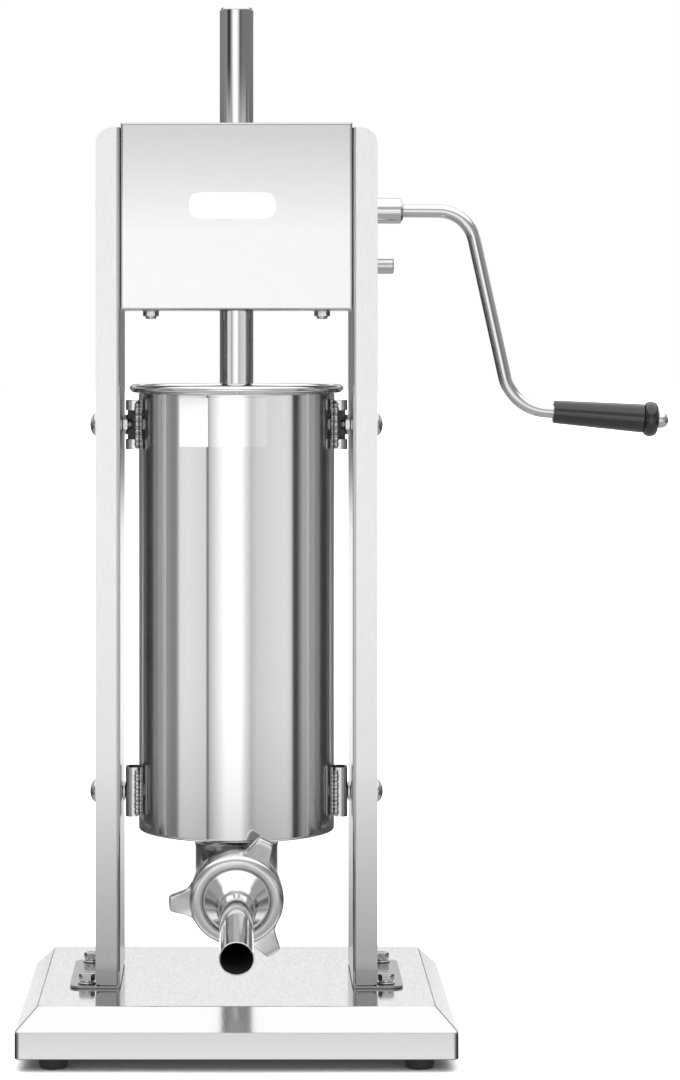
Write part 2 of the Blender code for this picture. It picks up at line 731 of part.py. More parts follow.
def shaft_bush():
    """A flanged bush in the right-hand column's web, drawn about Z as X."""
    bore, sleeve, flange = SHAFT_RADIUS + 0.15, SHAFT_RADIUS + 2.7, SHAFT_RADIUS + 4.5
    face = COLUMN_IN - GAP
    profile = [(bore, face - 2), (flange, face - 2), (flange, face)]
    profile += [(sleeve, face), (sleeve, face + 6), (bore, face + 6)]
    return along_x(turned(profile, 18))


def badge():
    """A blank raised plate on the front cover, drawn in the XZ plane."""
    outline = rounded_rectangle(BADGE_LENGTH, BADGE_HEIGHT, 5.0, 4)
    return profile_along_y(extruded(outline, 0, 0.9))


# Shafts and gears, drawn with their axis along X through the origin


def shaft_with_gear(outline, gear_low, gear_high, start, end):
    """A shaft with teeth cut on it, and a flat on the end that takes the crank."""
    teeth = along_x(extruded(outline, gear_low, gear_high))
    chamfer = 0.8
    profile = [(0, start), (SHAFT_RADIUS - chamfer, start), (SHAFT_RADIUS, start + chamfer)]
    profile += [(SHAFT_RADIUS, end - chamfer), (SHAFT_RADIUS - chamfer, end), (0, end)]
    bar = along_x(turned(profile, 18))
    corners = ((COLUMN_OUT + 2, -10), (end + 5, -10), (end + 5, 10), (COLUMN_OUT + 2, 10))
    flat = extruded(corners, SHAFT_RADIUS - SHAFT_FLAT, 12)
    return cut(added(bar, teeth), flat)


def tooth_towards(angle, teeth, module, pressure, **more):
    """A gear outline with a tooth at this angle from +Y towards +Z once it stands along X."""
    # along_x takes a drawn point (x, y) to (y, z) = (y, -x)
    return gear_outline(teeth, module, pressure, first_tooth=pi / 2 - angle, **more)


def input_shaft():
    half_pitch = pi / INPUT_TEETH
    outline = tooth_towards(-pi / 2 + half_pitch, INPUT_TEETH, GEAR_MODULE, GEAR_PRESSURE)
    return shaft_with_gear(outline, GEAR_X - 1, GEAR_X + GEAR_WIDTH + 1, -88.0, 115.5)


def output_shaft():
    outline = tooth_towards(
        pi, RACK_PINION_TEETH, RACK_MODULE, RACK_PRESSURE, addendum=RACK_ADDENDUM, dedendum=RACK_DEDENDUM
    )
    return shaft_with_gear(outline, -RACK_HALF_WIDTH - 1, RACK_HALF_WIDTH + 1, -88.0, 114.6)


def large_gear():
    outline = tooth_towards(pi / 2, OUTPUT_TEETH, GEAR_MODULE, GEAR_PRESSURE)
    bore = circle(SHAFT_RADIUS + 0.3, steps=16)
    rim = extruded(outline, GEAR_X, GEAR_X + GEAR_WIDTH, [bore])
    hub = extruded(circle(12), GEAR_X - 6, GEAR_X + 2, [bore])
    return along_x(added(rim, hub))


# Piston


def piston_rod():
    """A round rod with a rack on its back and a stud for the piston, drawn from its top at height 0."""
    length = ROD_TOP - PISTON_BOTTOM - PISTON_HEIGHT - GAP
    pitch_y = SHAFT_Y - RACK_MODULE * RACK_PINION_TEETH / 2
    flat = pitch_y - RACK_DEDENDUM * RACK_MODULE - 0.1
    pitch = pi * RACK_MODULE
    rack_top = -(ROD_TOP - OUTPUT_Z) + pitch * round((ROD_TOP - OUTPUT_Z - RACK_TOP_BELOW_ROD) / pitch)
    rack_bottom = rack_top - pitch * (RACK_TEETH + 0.5)
    stud_end = -(ROD_TOP - PISTON_BOTTOM) + 0.7
    bar = turned(
        [
            (0, stud_end),
            (STUD_RADIUS - 1, stud_end),
            (STUD_RADIUS, stud_end + 1),
            (STUD_RADIUS, -length),
            (ROD_RADIUS, -length),
            (ROD_RADIUS, -3.0),
            (ROD_RADIUS - 0.9, -0.9),
            (ROD_RADIUS - 3.0, 0),
            (0, 0),
        ],
        24,
    )
    away = extruded(((-20, flat), (20, flat), (20, 20), (-20, 20)), rack_bottom, rack_top + pitch / 2)
    outline = rack_outline(pitch_y, RACK_TEETH, rack_top, RACK_MODULE, RACK_PRESSURE)
    teeth = profile_along_x(extruded(outline, -RACK_HALF_WIDTH, RACK_HALF_WIDTH))
    return added(cut(bar, away), teeth)


def piston_plate():
    """The piston's disc with a groove for its seal, drawn from its underside at height 0."""
    lip = 3.5
    bore = STUD_RADIUS + 0.3
    disc = turned(
        [
            (bore, NUT_RECESS),
            (NUT_RECESS_RADIUS, NUT_RECESS),
            (NUT_RECESS_RADIUS, 0),
            (PISTON_RADIUS - 1.5, 0),
            (PISTON_RADIUS, 1.5),
            (PISTON_RADIUS, lip),
            (SEAL_GROOVE, lip),
            (SEAL_GROOVE, PISTON_HEIGHT - lip),
            (PISTON_RADIUS, PISTON_HEIGHT - lip),
            (PISTON_RADIUS, PISTON_HEIGHT),
            (bore, PISTON_HEIGHT),
        ],
        32,
    )
    stem_hole = extruded(circle(VALVE_STEM + 0.6, VALVE_X, 0, HOLE_SIDES), -5, PISTON_HEIGHT + 5)
    clip_recess = extruded(circle(VALVE_STEM + 3.5, VALVE_X, 0, HOLE_SIDES), -5, VALVE_RECESS)
    return cut(disc, stem_hole, clip_recess)


def piston_seal():
    low, high = 3.5 + GAP, PISTON_HEIGHT - 3.5 - GAP
    middle = (low + high) / 2
    inner = SEAL_GROOVE + GAP
    profile = [(inner, low), (SEAL_RADIUS - 0.8, low), (SEAL_RADIUS, low + 1.2), (SEAL_RADIUS - 1.4, middle)]
    profile += [(SEAL_RADIUS, high - 1.2), (SEAL_RADIUS - 0.8, high), (inner, high)]
    return turned(profile, 32)


def piston_nut():
    return extruded(hexagon(24), 0.7, NUT_RECESS - GAP, [circle(STUD_RADIUS + GAP, steps=16)])


def air_valve():
    """A poppet that rests on the piston and lifts, drawn from the piston's top at height 0."""
    clip = VALVE_RECESS - PISTON_HEIGHT - VALVE_LIFT - GAP
    profile = [(0, clip - 2), (VALVE_STEM + 1.8, clip - 2), (VALVE_STEM + 1.8, clip), (VALVE_STEM, clip)]
    profile += [(VALVE_STEM, GAP), (7.5, GAP), (7.5, 2.0), (6.5, 3.0), (3.0, 3.0), (3.0, 8.0), (0, 9.0)]
    return turned(profile, 12)


# Crank


def crank_hub():
    bore = SHAFT_RADIUS + 0.25
    socket_end = HUB_END - 4.6
    return along_x(
        turned(
            [
                (0, socket_end),
                (bore, socket_end),
                (bore, HUB_START),
                (HUB_RADIUS, HUB_START),
                (HUB_RADIUS, HUB_END - 2.0),
                (HUB_RADIUS - 2.4, HUB_END),
                (0, HUB_END),
            ],
            20,
        )
    )


def rounded_path(points, radii, steps=6):
    """Points along straight runs joined by arcs, each with its direction."""
    path = []
    for i, radius in enumerate(radii, start=1):
        before = (points[i] - points[i - 1]).normalized()
        after = (points[i + 1] - points[i]).normalized()
        turn = before.angle(after)
        reach = radius * tan(turn / 2)
        start = points[i] - before * reach
        inwards = (after - before * after.dot(before)).normalized()
        centre = start + inwards * radius
        for step in range(steps + 1):
            a = turn * step / steps
            point = centre - inwards * radius * cos(a) + before * radius * sin(a)
            path.append((point, before * cos(a) + inwards * sin(a)))
    first = (points[1] - points[0]).normalized()
    last = (points[-1] - points[-2]).normalized()
    return [(points[0], first)] + path + [(points[-1], last)]


def arm_points():
    """The crank arm's centre line in the XZ plane, from the hub to the end of the grip."""
    start = Vector((HUB_END + GAP, 0, INPUT_Z))
    out = Vector((ARM_CORNER_OUT[0], 0, ARM_CORNER_OUT[1]))
    down = Vector((ARM_CORNER_DOWN[0], 0, ARM_CORNER_DOWN[1]))
    end = down + grip_axis() * (GRIP_START + GRIP_LENGTH - 1.0)
    return [start, out, down, end]


def grip_axis():
    return Vector((cos(GRIP_DROP), 0, -sin(GRIP_DROP)))


def grip_turn():
    """Turns +Z to the grip's axis."""
    return Matrix.Rotation(pi / 2 + GRIP_DROP, 3, "Y").to_quaternion()


def crank_arm():
    """The bent rod, placed about the input shaft's axis."""
    across = Vector((0, 1, 0))
    rings = []
    sides = 12
    for point, direction in rounded_path(arm_points(), (ARM_BEND_OUT, ARM_BEND_DOWN)):
        upright = across.cross(direction)
        angles = [2 * pi * i / sides for i in range(sides)]
        about_shaft = point - Vector((0, 0, INPUT_Z))
        rings.append([about_shaft + ARM_RADIUS * (across * cos(a) + upright * sin(a)) for a in angles])
    return lofted(rings)


def grip_sleeve():
    """The turning handle, drawn about Z from its inner end at height 0."""
    bore = ARM_RADIUS + 0.4
    return turned(
        [
            (bore, 0),
            (GRIP_RADIUS - 1.0, 0),
            (GRIP_RADIUS, 1.0),
            (GRIP_RADIUS, 8.0),
            (GRIP_END_RADIUS, 58.0),
            (GRIP_END_RADIUS, 66.4),
            (GRIP_FLANGE, 69.6),
            (GRIP_FLANGE, GRIP_LENGTH - 2.4),
            (GRIP_FLANGE - 2.4, GRIP_LENGTH),
            (bore, GRIP_LENGTH),
        ],
        18,
    )


def grip_cap():
    """The domed end that keeps the grip on, drawn about Z from the grip's outer end at height 0."""
    profile = [(0, GAP), (CAP_RADIUS, GAP), (CAP_RADIUS, CAP_LENGTH - 4.5)]
    profile += [(CAP_RADIUS - 0.8, CAP_LENGTH - 2.2), (CAP_RADIUS - 2.8, CAP_LENGTH - 0.6), (0, CAP_LENGTH)]
    return turned(profile, 14)


def build_base(machine):
    place("base_pan", base_pan(), polished("pan_steel"), parent=machine)
    foot = rubber_foot()
    for side, x in (("left", -FOOT_X), ("right", FOOT_X)):
        for end, y in (("front", -FOOT_Y), ("rear", FOOT_Y)):
            name = f"foot_{end}_{side}"
            place(name, foot.copy(), dark_rubber(name), (x, y, 0), parent=machine)


def build_columns(machine):
    tab_top = PAN_TOP + GAP + TAB_SHEET
    bolt = hex_bolt(0, 10.0, 4.4, 6.5, 2.2, -13.0)
    bolt_top = tab_top + GAP + 6.6
    for side, sign in (("left", -1), ("right", 1)):
        channel, cover = column_channel(), column_cover(SHAFT_RADIUS + 0.6)
        if sign < 0:
            channel, cover = mirrored(channel), mirrored(cover)
        place(f"column_{side}", channel, brushed(f"column_{side}_steel"), parent=machine)
        place(f"column_cover_{side}", cover, brushed(f"column_cover_{side}_steel"), parent=machine)
        for end, y in zip(("front", "rear"), TAB_BOLT_YS):
            name = f"foot_bolt_{end}_{side}"
            place(name, bolt.copy(), zinc(name), (sign * TAB_BOLT_X, y, bolt_top), parent=machine)


def build_cylinder(machine):
    place("cylinder_barrel", barrel(), polished("barrel_steel"), parent=machine)
    for level, z, slotted in (("upper", UPPER_PIN_Z, True), ("lower", LOWER_PIN_Z, False)):
        for side, sign in (("left", -1), ("right", 1)):
            strip = bracket(slotted)
            bolt = pivot_bolt(75.6 if slotted else 74.0)
            nut = pin_nut(78.6 if slotted else BRACKET_OUT + GAP, COLUMN_IN - GAP)
            if sign < 0:
                strip, bolt, nut = mirrored(strip), mirrored(bolt), mirrored(nut)
            where = f"{level}_{side}"
            place(f"bracket_{where}", strip, polished(f"bracket_{where}_steel"), (0, 0, z), parent=machine)
            place(f"pivot_bolt_{where}", bolt, zinc(f"pivot_bolt_{where}"), (0, 0, z), parent=machine)
            place(f"pivot_nut_{where}", nut, zinc(f"pivot_nut_{where}"), (0, 0, z), parent=machine)


def build_outlet(machine):
    turn = outlet_turn()
    face = OUTLET_FACE
    place("outlet_elbow", elbow(), polished("elbow_steel"), parent=machine)
    silicone = material("seal_white", (0.8, 0.8, 0.78), 0.6, 0.0)
    place("outlet_seal", outlet_seal(), silicone, face, turn, machine)
    place("stuffing_tube", stuffing_tube(), polished("tube_steel"), face, turn, machine)
    place("ring_nut", ring_nut(), polished("nut_steel"), face, turn, machine)


def build_housing(machine):
    place("housing_front_cover", housing_cover(False), brushed("front_cover_steel"), parent=machine)
    place("housing_rear_cover", housing_cover(True), brushed("rear_cover_steel"), parent=machine)
    low = HOUSING_BOTTOM + HOUSING_SHEET + GAP
    high = HOUSING_TOP - 12.0
    place("housing_bottom_plate", bridge_plate(low, True), brushed("bottom_plate_steel"), parent=machine)
    place("housing_top_plate", bridge_plate(high, False), brushed("top_plate_steel"), parent=machine)
    place("rod_bush_lower", rod_bush(low, 1.0), bronze("rod_bush_lower"), parent=machine)
    place("rod_bush_upper", rod_bush(high, 3.0), bronze("rod_bush_upper"), parent=machine)
    bolt = hex_bolt(0, 10.0, 5.6, 6.3, 1.6, -18.0)
    upside_down = Matrix.Rotation(pi, 3, "X").to_quaternion()
    for side, sign in (("left", -1), ("right", 1)):
        name = f"housing_bolt_{side}"
        head = low - GAP - 7.2
        place(name, bolt.copy(), zinc(name), (sign * HOUSING_BOLT_X, 0, head), upside_down, machine)
        for shaft, z in (("input", INPUT_Z), ("output", OUTPUT_Z)):
            bush = shaft_bush() if sign > 0 else mirrored(shaft_bush())
            name = f"{shaft}_bush_{side}"
            place(name, bush, bronze(name), (0, SHAFT_Y, z), parent=machine)
    front = -COLUMN_HALF_DEPTH - GAP
    plate = material("badge_white", (0.85, 0.85, 0.85), 0.4, 0.0)
    place("badge_plate", badge(), plate, (BADGE_X, front, BADGE_Z), parent=machine)


def build_gears(machine):
    place("input_shaft", input_shaft(), zinc("input_shaft_steel"), (0, SHAFT_Y, INPUT_Z), parent=machine)
    place("output_shaft", output_shaft(), zinc("output_shaft_steel"), (0, SHAFT_Y, OUTPUT_Z), parent=machine)
    place("large_gear", large_gear(), zinc("large_gear_steel"), (0, SHAFT_Y, OUTPUT_Z), parent=machine)


def build_piston(machine):
    place("piston_rod", piston_rod(), polished("rod_steel"), (0, 0, ROD_TOP), parent=machine)
    place("piston_plate", piston_plate(), polished("piston_steel"), (0, 0, PISTON_BOTTOM), parent=machine)
    seal = material("piston_seal_silicone", (0.85, 0.85, 0.82), 0.5, 0.0)
    place("piston_seal", piston_seal(), seal, (0, 0, PISTON_BOTTOM), parent=machine)
    place("piston_nut", piston_nut(), zinc("piston_nut_steel"), (0, 0, PISTON_BOTTOM), parent=machine)
    valve = material("valve_plastic", (0.8, 0.8, 0.8), 0.4, 0.0)
    place("air_valve", air_valve(), valve, (VALVE_X, 0, PISTON_BOTTOM + PISTON_HEIGHT), parent=machine)


def build_crank(machine):
    about_shaft = (0, SHAFT_Y, INPUT_Z)
    place("crank_hub", crank_hub(), polished("hub_steel"), about_shaft, parent=machine)
    place("crank_arm", crank_arm(), polished("arm_steel"), about_shaft, parent=machine)
    down = Vector((ARM_CORNER_DOWN[0], SHAFT_Y, ARM_CORNER_DOWN[1]))
    grip_inner = down + grip_axis() * GRIP_START
    grip_outer = grip_inner + grip_axis() * GRIP_LENGTH
    black = material("grip_plastic", (0.012, 0.012, 0.012), 0.25, 0.0)
    place("grip_sleeve", grip_sleeve(), black, grip_inner, grip_turn(), machine)
    place("grip_cap", grip_cap(), polished("grip_cap_steel"), grip_outer, grip_turn(), machine)


def centre_on_box(machine):
    """Moves the whole machine so that the middle of its box stands over the origin."""
    bpy.context.view_layer.update()
    corners = []
    for piece in machine.children:
        corners += [piece.matrix_world @ Vector(corner) for corner in piece.bound_box]
    middle = [(min(c[i] for c in corners) + max(c[i] for c in corners)) / 2 for i in (0, 1)]
    machine.location = (-middle[0], -middle[1], 0)
    bpy.context.view_layer.update()


def main():
    clear_scene()
    machine = bpy.data.objects.new("machine", None)
    bpy.context.collection.objects.link(machine)
    build_base(machine)
    build_columns(machine)
    build_cylinder(machine)
    build_outlet(machine)
    build_housing(machine)
    build_gears(machine)
    build_piston(machine)
    build_crank(machine)
    centre_on_box(machine)


main()
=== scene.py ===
"""The looks of a hand-cranked sausage stuffer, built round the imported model.

Shapes are worked in millimetres in the machine's own frame: the origin is on the floor under the
cylinder's axis, +Z is up, the outlet faces -Y and the crank is on the +X side. CENTRE takes that frame
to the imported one.
"""

from math import acos, cos, hypot, pi, radians, sin, sqrt, tan

import bmesh
import bpy
from mathutils import Matrix, Vector


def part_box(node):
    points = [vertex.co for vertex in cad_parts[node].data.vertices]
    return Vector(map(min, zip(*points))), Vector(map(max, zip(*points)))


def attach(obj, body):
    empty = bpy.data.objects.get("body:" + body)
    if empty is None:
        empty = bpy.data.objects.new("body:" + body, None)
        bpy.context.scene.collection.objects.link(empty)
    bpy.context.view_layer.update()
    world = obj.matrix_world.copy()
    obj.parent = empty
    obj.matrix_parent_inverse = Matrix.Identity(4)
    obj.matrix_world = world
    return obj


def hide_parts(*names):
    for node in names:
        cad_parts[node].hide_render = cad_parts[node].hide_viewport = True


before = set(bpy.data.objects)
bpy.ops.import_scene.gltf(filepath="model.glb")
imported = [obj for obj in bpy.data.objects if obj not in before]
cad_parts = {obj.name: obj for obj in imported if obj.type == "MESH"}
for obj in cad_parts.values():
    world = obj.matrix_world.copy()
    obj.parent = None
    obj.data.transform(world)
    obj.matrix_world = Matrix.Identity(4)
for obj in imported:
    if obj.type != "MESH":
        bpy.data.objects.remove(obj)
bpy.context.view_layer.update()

MM = 0.001
SIDES = (("left", -1), ("right", 1))
CORNERS = ("front_left", "front_right", "rear_left", "rear_right")


def middle_of(node):
    low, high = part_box(node)
    return (low + high) / 2


CENTRE = Vector((middle_of("cylinder_barrel").x, middle_of("cylinder_barrel").y, 0.0))


def span(node):
    """A CAD node's lowest and highest corners in the machine's frame, in millimetres."""
    low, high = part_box(node)
    return (low - CENTRE) / MM, (high - CENTRE) / MM


def spot_of(part):
    """The middle of a CAD node in the machine's frame, in millimetres."""
    return (middle_of(part) - CENTRE) / MM


def under(part):
    """The point on the floor under a CAD node's middle."""
    low, high = span(part)
    return ((low.x + high.x) / 2, (low.y + high.y) / 2, 0)


# Mesh work


def mesh_of(shape):
    """A mesh in metres of a bmesh drawn in millimetres, with its faces turned out."""
    bmesh.ops.recalc_face_normals(shape, faces=shape.faces)
    bmesh.ops.scale(shape, vec=(MM, MM, MM), verts=shape.verts)
    mesh = bpy.data.meshes.new("shape")
    shape.to_mesh(mesh)
    shape.free()
    return mesh


def combined(first, others, operation):
    base = bpy.data.objects.new("base", first)
    bpy.context.scene.collection.objects.link(base)
    helpers = [base]
    for mesh in others:
        helper = bpy.data.objects.new("helper", mesh)
        bpy.context.scene.collection.objects.link(helper)
        helpers.append(helper)
        step = base.modifiers.new("step", "BOOLEAN")
        step.operation = operation
        step.object = helper
    bpy.context.view_layer.update()
    graph = bpy.context.evaluated_depsgraph_get()
    result = bpy.data.meshes.new_from_object(base.evaluated_get(graph))
    for helper in helpers:
        bpy.data.objects.remove(helper, do_unlink=True)
    return result


def cut(mesh, *cutters):
    return combined(mesh, cutters, "DIFFERENCE")


def added(mesh, *others):
    return combined(mesh, others, "UNION")


def trimmed(mesh, *others):
    return combined(mesh, others, "INTERSECT")


def moved(mesh, matrix):
    mesh.transform(matrix)
    return mesh


def shifted(mesh, x=0.0, y=0.0, z=0.0):
    return moved(mesh, Matrix.Translation(Vector((x, y, z)) * MM))


def ring_of(shape, points):
    return [shape.verts.new(point) for point in points]


def skin(shape, rings, closed=False):
    pairs = list(zip(rings, rings[1:]))
    if closed:
        pairs.append((rings[-1], rings[0]))
    for low, high in pairs:
        for i in range(len(low)):
            j = (i + 1) % len(low)
            shape.faces.new((low[i], low[j], high[j], high[i]))


def lofted(rings):
    """A solid through rings of equally many points, capped at both ends."""
    shape = bmesh.new()
    made = [ring_of(shape, points) for points in rings]
    skin(shape, made)
    shape.faces.new(made[0])
    shape.faces.new(made[-1])
    return mesh_of(shape)


def looped(rings):
    """A solid through rings that come back to the first one."""
    shape = bmesh.new()
    skin(shape, [ring_of(shape, points) for points in rings], closed=True)
    return mesh_of(shape)


def turned(profile, segments=96):
    """A solid turned about Z from (radius, height) points. With no point on the axis it's a ring."""
    shape = bmesh.new()
    angles = [2 * pi * i / segments for i in range(segments)]
    rings = []
    for radius, height in profile:
        if radius == 0:
            rings.append([shape.verts.new((0, 0, height))])
        else:
            rings.append(ring_of(shape, [(radius * cos(a), radius * sin(a), height) for a in angles]))
    pairs = list(zip(rings, rings[1:]))
    if len(rings[0]) > 1:
        pairs.append((rings[-1], rings[0]))
    for low, high in pairs:
        for i in range(segments):
            j = (i + 1) % segments
            corners = [low[i % len(low)], low[j % len(low)], high[j % len(high)], high[i % len(high)]]
            distinct = list(dict.fromkeys(corners))
            if len(distinct) > 2:
                shape.faces.new(distinct)
    return mesh_of(shape)


def at_height(outline, height):
    return [(x, y, height) for x, y in outline]


def extruded(outline, low, high):
    return lofted([at_height(outline, low), at_height(outline, high)])


def block(low, high):
    """A box between two corners."""
    outline = ((low[0], low[1]), (high[0], low[1]), (high[0], high[1]), (low[0], high[1]))
    return extruded(outline, low[2], high[2])


def bar(radius, low, high, x=0.0, y=0.0, steps=64):
    """A round bar along Z, which mostly serves to drill a hole."""
    return extruded(circle(radius, x, y, steps), low, high)


def drills(parts, radius, low, high):
    """A bar through the middle of each of these CAD nodes."""
    spots = [spot_of(part) for part in parts]
    return [bar(radius, low, high, spot.x, spot.y, 32) for spot in spots]


def along_x(mesh):
    """Turns a mesh drawn about Z so that its Z runs along +X."""
    return moved(mesh, Matrix.Rotation(pi / 2, 4, "Y"))


def profile_along_x(mesh):
    """Stands a (y, z) outline, drawn flat, upright along X."""
    return moved(mesh, Matrix(((0, 0, 1, 0), (1, 0, 0, 0), (0, 1, 0, 0), (0, 0, 0, 1))))


def profile_along_y(mesh):
    """Stands an (x, z) outline, drawn flat, upright along Y."""
    return moved(mesh, Matrix.Rotation(pi / 2, 4, "X"))


def mirrored(mesh, axis=(1, 0, 0)):
    mesh.transform(Matrix.Scale(-1, 4, axis))
    mesh.flip_normals()
    return mesh


def on_side(mesh, sign):
    """A mesh drawn for the right-hand side, mirrored when the sign is for the left."""
    return mirrored(mesh) if sign < 0 else mesh


def arc(centre, radius, start, end, steps, height=None):
    """Points round a centre, with the angles in degrees. With a height too, the arc is an ellipse's."""
    high = radius if height is None else height
    angles = [radians(start + (end - start) * i / steps) for i in range(steps + 1)]
    return [(centre[0] + radius * cos(a), centre[1] + high * sin(a)) for a in angles]


def circle(radius, x=0.0, y=0.0, steps=64):
    return arc((x, y), radius, 0, 360 - 360 / steps, steps - 1)


def hexagon(flats):
    return arc((0, 0), flats / sqrt(3), 0, 300, 5)


def rounded_rectangle(length, depth, radius, steps=8):
    x, y = length / 2 - radius, depth / 2 - radius
    points = []
    for sx, sy, start in ((1, 1, 0), (-1, 1, 90), (-1, -1, 180), (1, -1, 270)):
        points += arc((sx * x, sy * y), radius, start, start + 90, steps)
    return points


def eased(*corners):
    """An outline whose corners given as (x, y, ease) are cut off that far to either side."""
    points = []
    for i, (x, y, *ease) in enumerate(corners):
        if not ease:
            points.append((x, y))
            continue
        for near in (corners[i - 1], corners[(i + 1) % len(corners)]):
            across, up = near[0] - x, near[1] - y
            share = ease[0] / hypot(across, up)
            points.append((x + across * share, y + up * share))
    return points


def rounded_corner(before, corner, after, radius, steps=6):
    """Points that round an outline's corner between two straight runs."""
    a, b, c = Vector(before), Vector(corner), Vector(after)
    first, last = (a - b).normalized(), (c - b).normalized()
    opening = first.angle(last)
    reach = radius / tan(opening / 2)
    centre = b + (first + last).normalized() * radius / sin(opening / 2)
    start, end = b + first * reach - centre, b + last * reach - centre
    swing = start.angle(end)
    points = []
    for i in range(steps + 1):
        t = i / steps
        mixed = start * sin((1 - t) * swing) + end * sin(t * swing)
        points.append(tuple(centre + mixed / sin(swing)))
    return points


def bent_profile(corners, radii):
    """A run of (inset, height) corners with each inner one rounded."""
    points = [corners[0]]
    for before, corner, after, radius in zip(corners, corners[1:], corners[2:], radii):
        points += rounded_corner(before, corner, after, radius)
    return points + [corners[-1]]


def rounded_path(points, radii, steps=24):
    """Points along straight runs joined by arcs, each with its direction."""
    path = []
    for i, radius in enumerate(radii, start=1):
        before = (points[i] - points[i - 1]).normalized()
        after = (points[i + 1] - points[i]).normalized()
        turn = before.angle(after)
        start = points[i] - before * radius * tan(turn / 2)
        inwards = (after - before * after.dot(before)).normalized()
        centre = start + inwards * radius
        for step in range(steps + 1):
            a = turn * step / steps
            point = centre - inwards * radius * cos(a) + before * radius * sin(a)
            path.append((point, before * cos(a) + inwards * sin(a)))
    first = (points[1] - points[0]).normalized()
    last = (points[-1] - points[-2]).normalized()
    return [(points[0], first)] + path + [(points[-1], last)]


def ring_across(point, direction, across, radius, sides):
    upright = direction.cross(across)
    angles = [2 * pi * i / sides for i in range(sides)]
    return [point + radius * (across * cos(a) + upright * sin(a)) for a in angles]


def threaded(start, end, crest, root, pitch):
    """(radius, height) points of a thread's outline between two heights."""
    turns = max(1, int(abs(end - start) / pitch))
    step = (end - start) / turns
    points = []
    for i in range(turns):
        points += [(root, start + step * i), (crest, start + step * (i + 0.5))]
    return points + [(root, end)]


# Materials

# Most of a noise's values lie in this range
NOISE_LOW, NOISE_HIGH = 0.3, 0.7


def grey(tone):
    return (tone, tone, tone, 1.0)


def fill(tree, made, inputs):
    """Sets a shader node's inputs to values, or links them to other nodes' outputs."""
    for name, value in inputs.items():
        if isinstance(value, bpy.types.NodeSocket):
            tree.links.new(value, made.inputs[name])
        else:
            made.inputs[name].default_value = value
    return made


def node(tree, kind, inputs=(), **settings):
    made = tree.nodes.new("ShaderNode" + kind)
    for name, value in settings.items():
        setattr(made, name, value)
    return fill(tree, made, dict(inputs))


def new_material(name):
    """A material and its parts."""
    made = bpy.data.materials.new(name)
    made.use_nodes = True
    return made, made.node_tree, made.node_tree.nodes["Principled BSDF"]


def spread(tree, source, start, end, low=0.0, high=1.0, **settings):
    """Takes a value's range from start to end to the range from low to high."""
    ends = {"Value": source, "From Min": start, "From Max": end, "To Min": low, "To Max": high}
    return node(tree, "MapRange", ends, **settings).outputs["Result"]


def mixed(tree, share, first, second):
    colours = {"Factor": share, "A": first, "B": second}
    return node(tree, "Mix", colours, data_type="RGBA").outputs["Result"]


def noise(tree, scale, stretch=(1, 1, 1)):
    """Noise over the piece in its own space, drawn out along an axis where stretch is below 1."""
    where = node(tree, "TexCoord").outputs["Object"]
    place = node(tree, "Mapping", {"Vector": where, "Scale": stretch}).outputs["Vector"]
    return node(tree, "TexNoise", {"Vector": place, "Scale": scale, "Detail": 3.0}).outputs["Fac"]


def finished(made, tree, shader, fine, roughness, bump, distance, looks):
    """Gives a material these looks, and the roughness and bumps that its fine noise drives."""
    start, end = roughness
    looks["Roughness"] = spread(tree, fine, NOISE_LOW, NOISE_HIGH, start, end)
    if bump:
        bumps = {"Height": fine, "Strength": bump, "Distance": distance}
        looks["Normal"] = node(tree, "Bump", bumps).outputs["Normal"]
    fill(tree, shader, looks)
    return made


def metal(name, tone, roughness, grain=(1, 1, 1), scale=900.0, bump=0.0, warmth=0.0, metallic=1.0):
    """Bare metal. Grain stretches the finish along an axis, and roughness is its lowest and highest value."""
    made, tree, shader = new_material(name)
    dark = (tone * 0.97, tone * 0.97, tone * (0.97 - warmth), 1.0)
    light = (tone, tone, tone * (1.0 - warmth), 1.0)
    looks = {"Metallic": metallic, "Base Color": mixed(tree, noise(tree, 9.0), dark, light)}
    return finished(made, tree, shader, noise(tree, scale, grain), roughness, bump, 0.0001, looks)


def moulded(name, colour, roughness, bump, coat=0.0):
    """Plastic or rubber, with a fine moulded texture."""
    made, tree, shader = new_material(name)
    looks = {"Base Color": (*colour, 1.0), "Coat Weight": coat, "Coat Roughness": 0.08}
    return finished(made, tree, shader, noise(tree, 1500.0), roughness, bump, 0.0002, looks)


def paint_shading_by_height(made, high, low, tone):
    """Paints light or shade into a metal's colour by height: takes it to this tone between two heights in the
    machine's frame, going down.
    """
    tree = made.node_tree
    colour = tree.nodes["Principled BSDF"].inputs["Base Color"]
    where = node(tree, "TexCoord").outputs["Object"]
    height = node(tree, "SeparateXYZ", {"Vector": where}).outputs["Z"]
    share = spread(tree, height, high * MM, low * MM)
    tree.links.new(mixed(tree, share, colour.links[0].from_socket, grey(tone)), colour)
    return made


ALONG_X, ALONG_Z = (0.03, 1, 1), (1, 1, 0.04)
MIRROR = metal("mirror_stainless", 0.80, (0.035, 0.075), scale=1400.0, metallic=0.965)
FILM = metal("label_film", 0.93, (0.06, 0.09), scale=1400.0)
PAN_STEEL = metal("pan_stainless", 0.67, (0.10, 0.16), (1, 0.15, 1), bump=0.02)
COLUMN_STEEL_PAINTED_SHADE = metal("column_stainless_painted_shade", 0.66, (0.16, 0.24), ALONG_Z, 1600.0, 0.03, metallic=0.94)
# Painted shade: the columns' steel darkens towards their feet, from 200 mm down to 70 mm.
paint_shading_by_height(COLUMN_STEEL_PAINTED_SHADE, 200, 70, 0.38)
COVER_STEEL = metal("cover_stainless", 0.66, (0.18, 0.22), ALONG_X, 1800.0, 0.015)
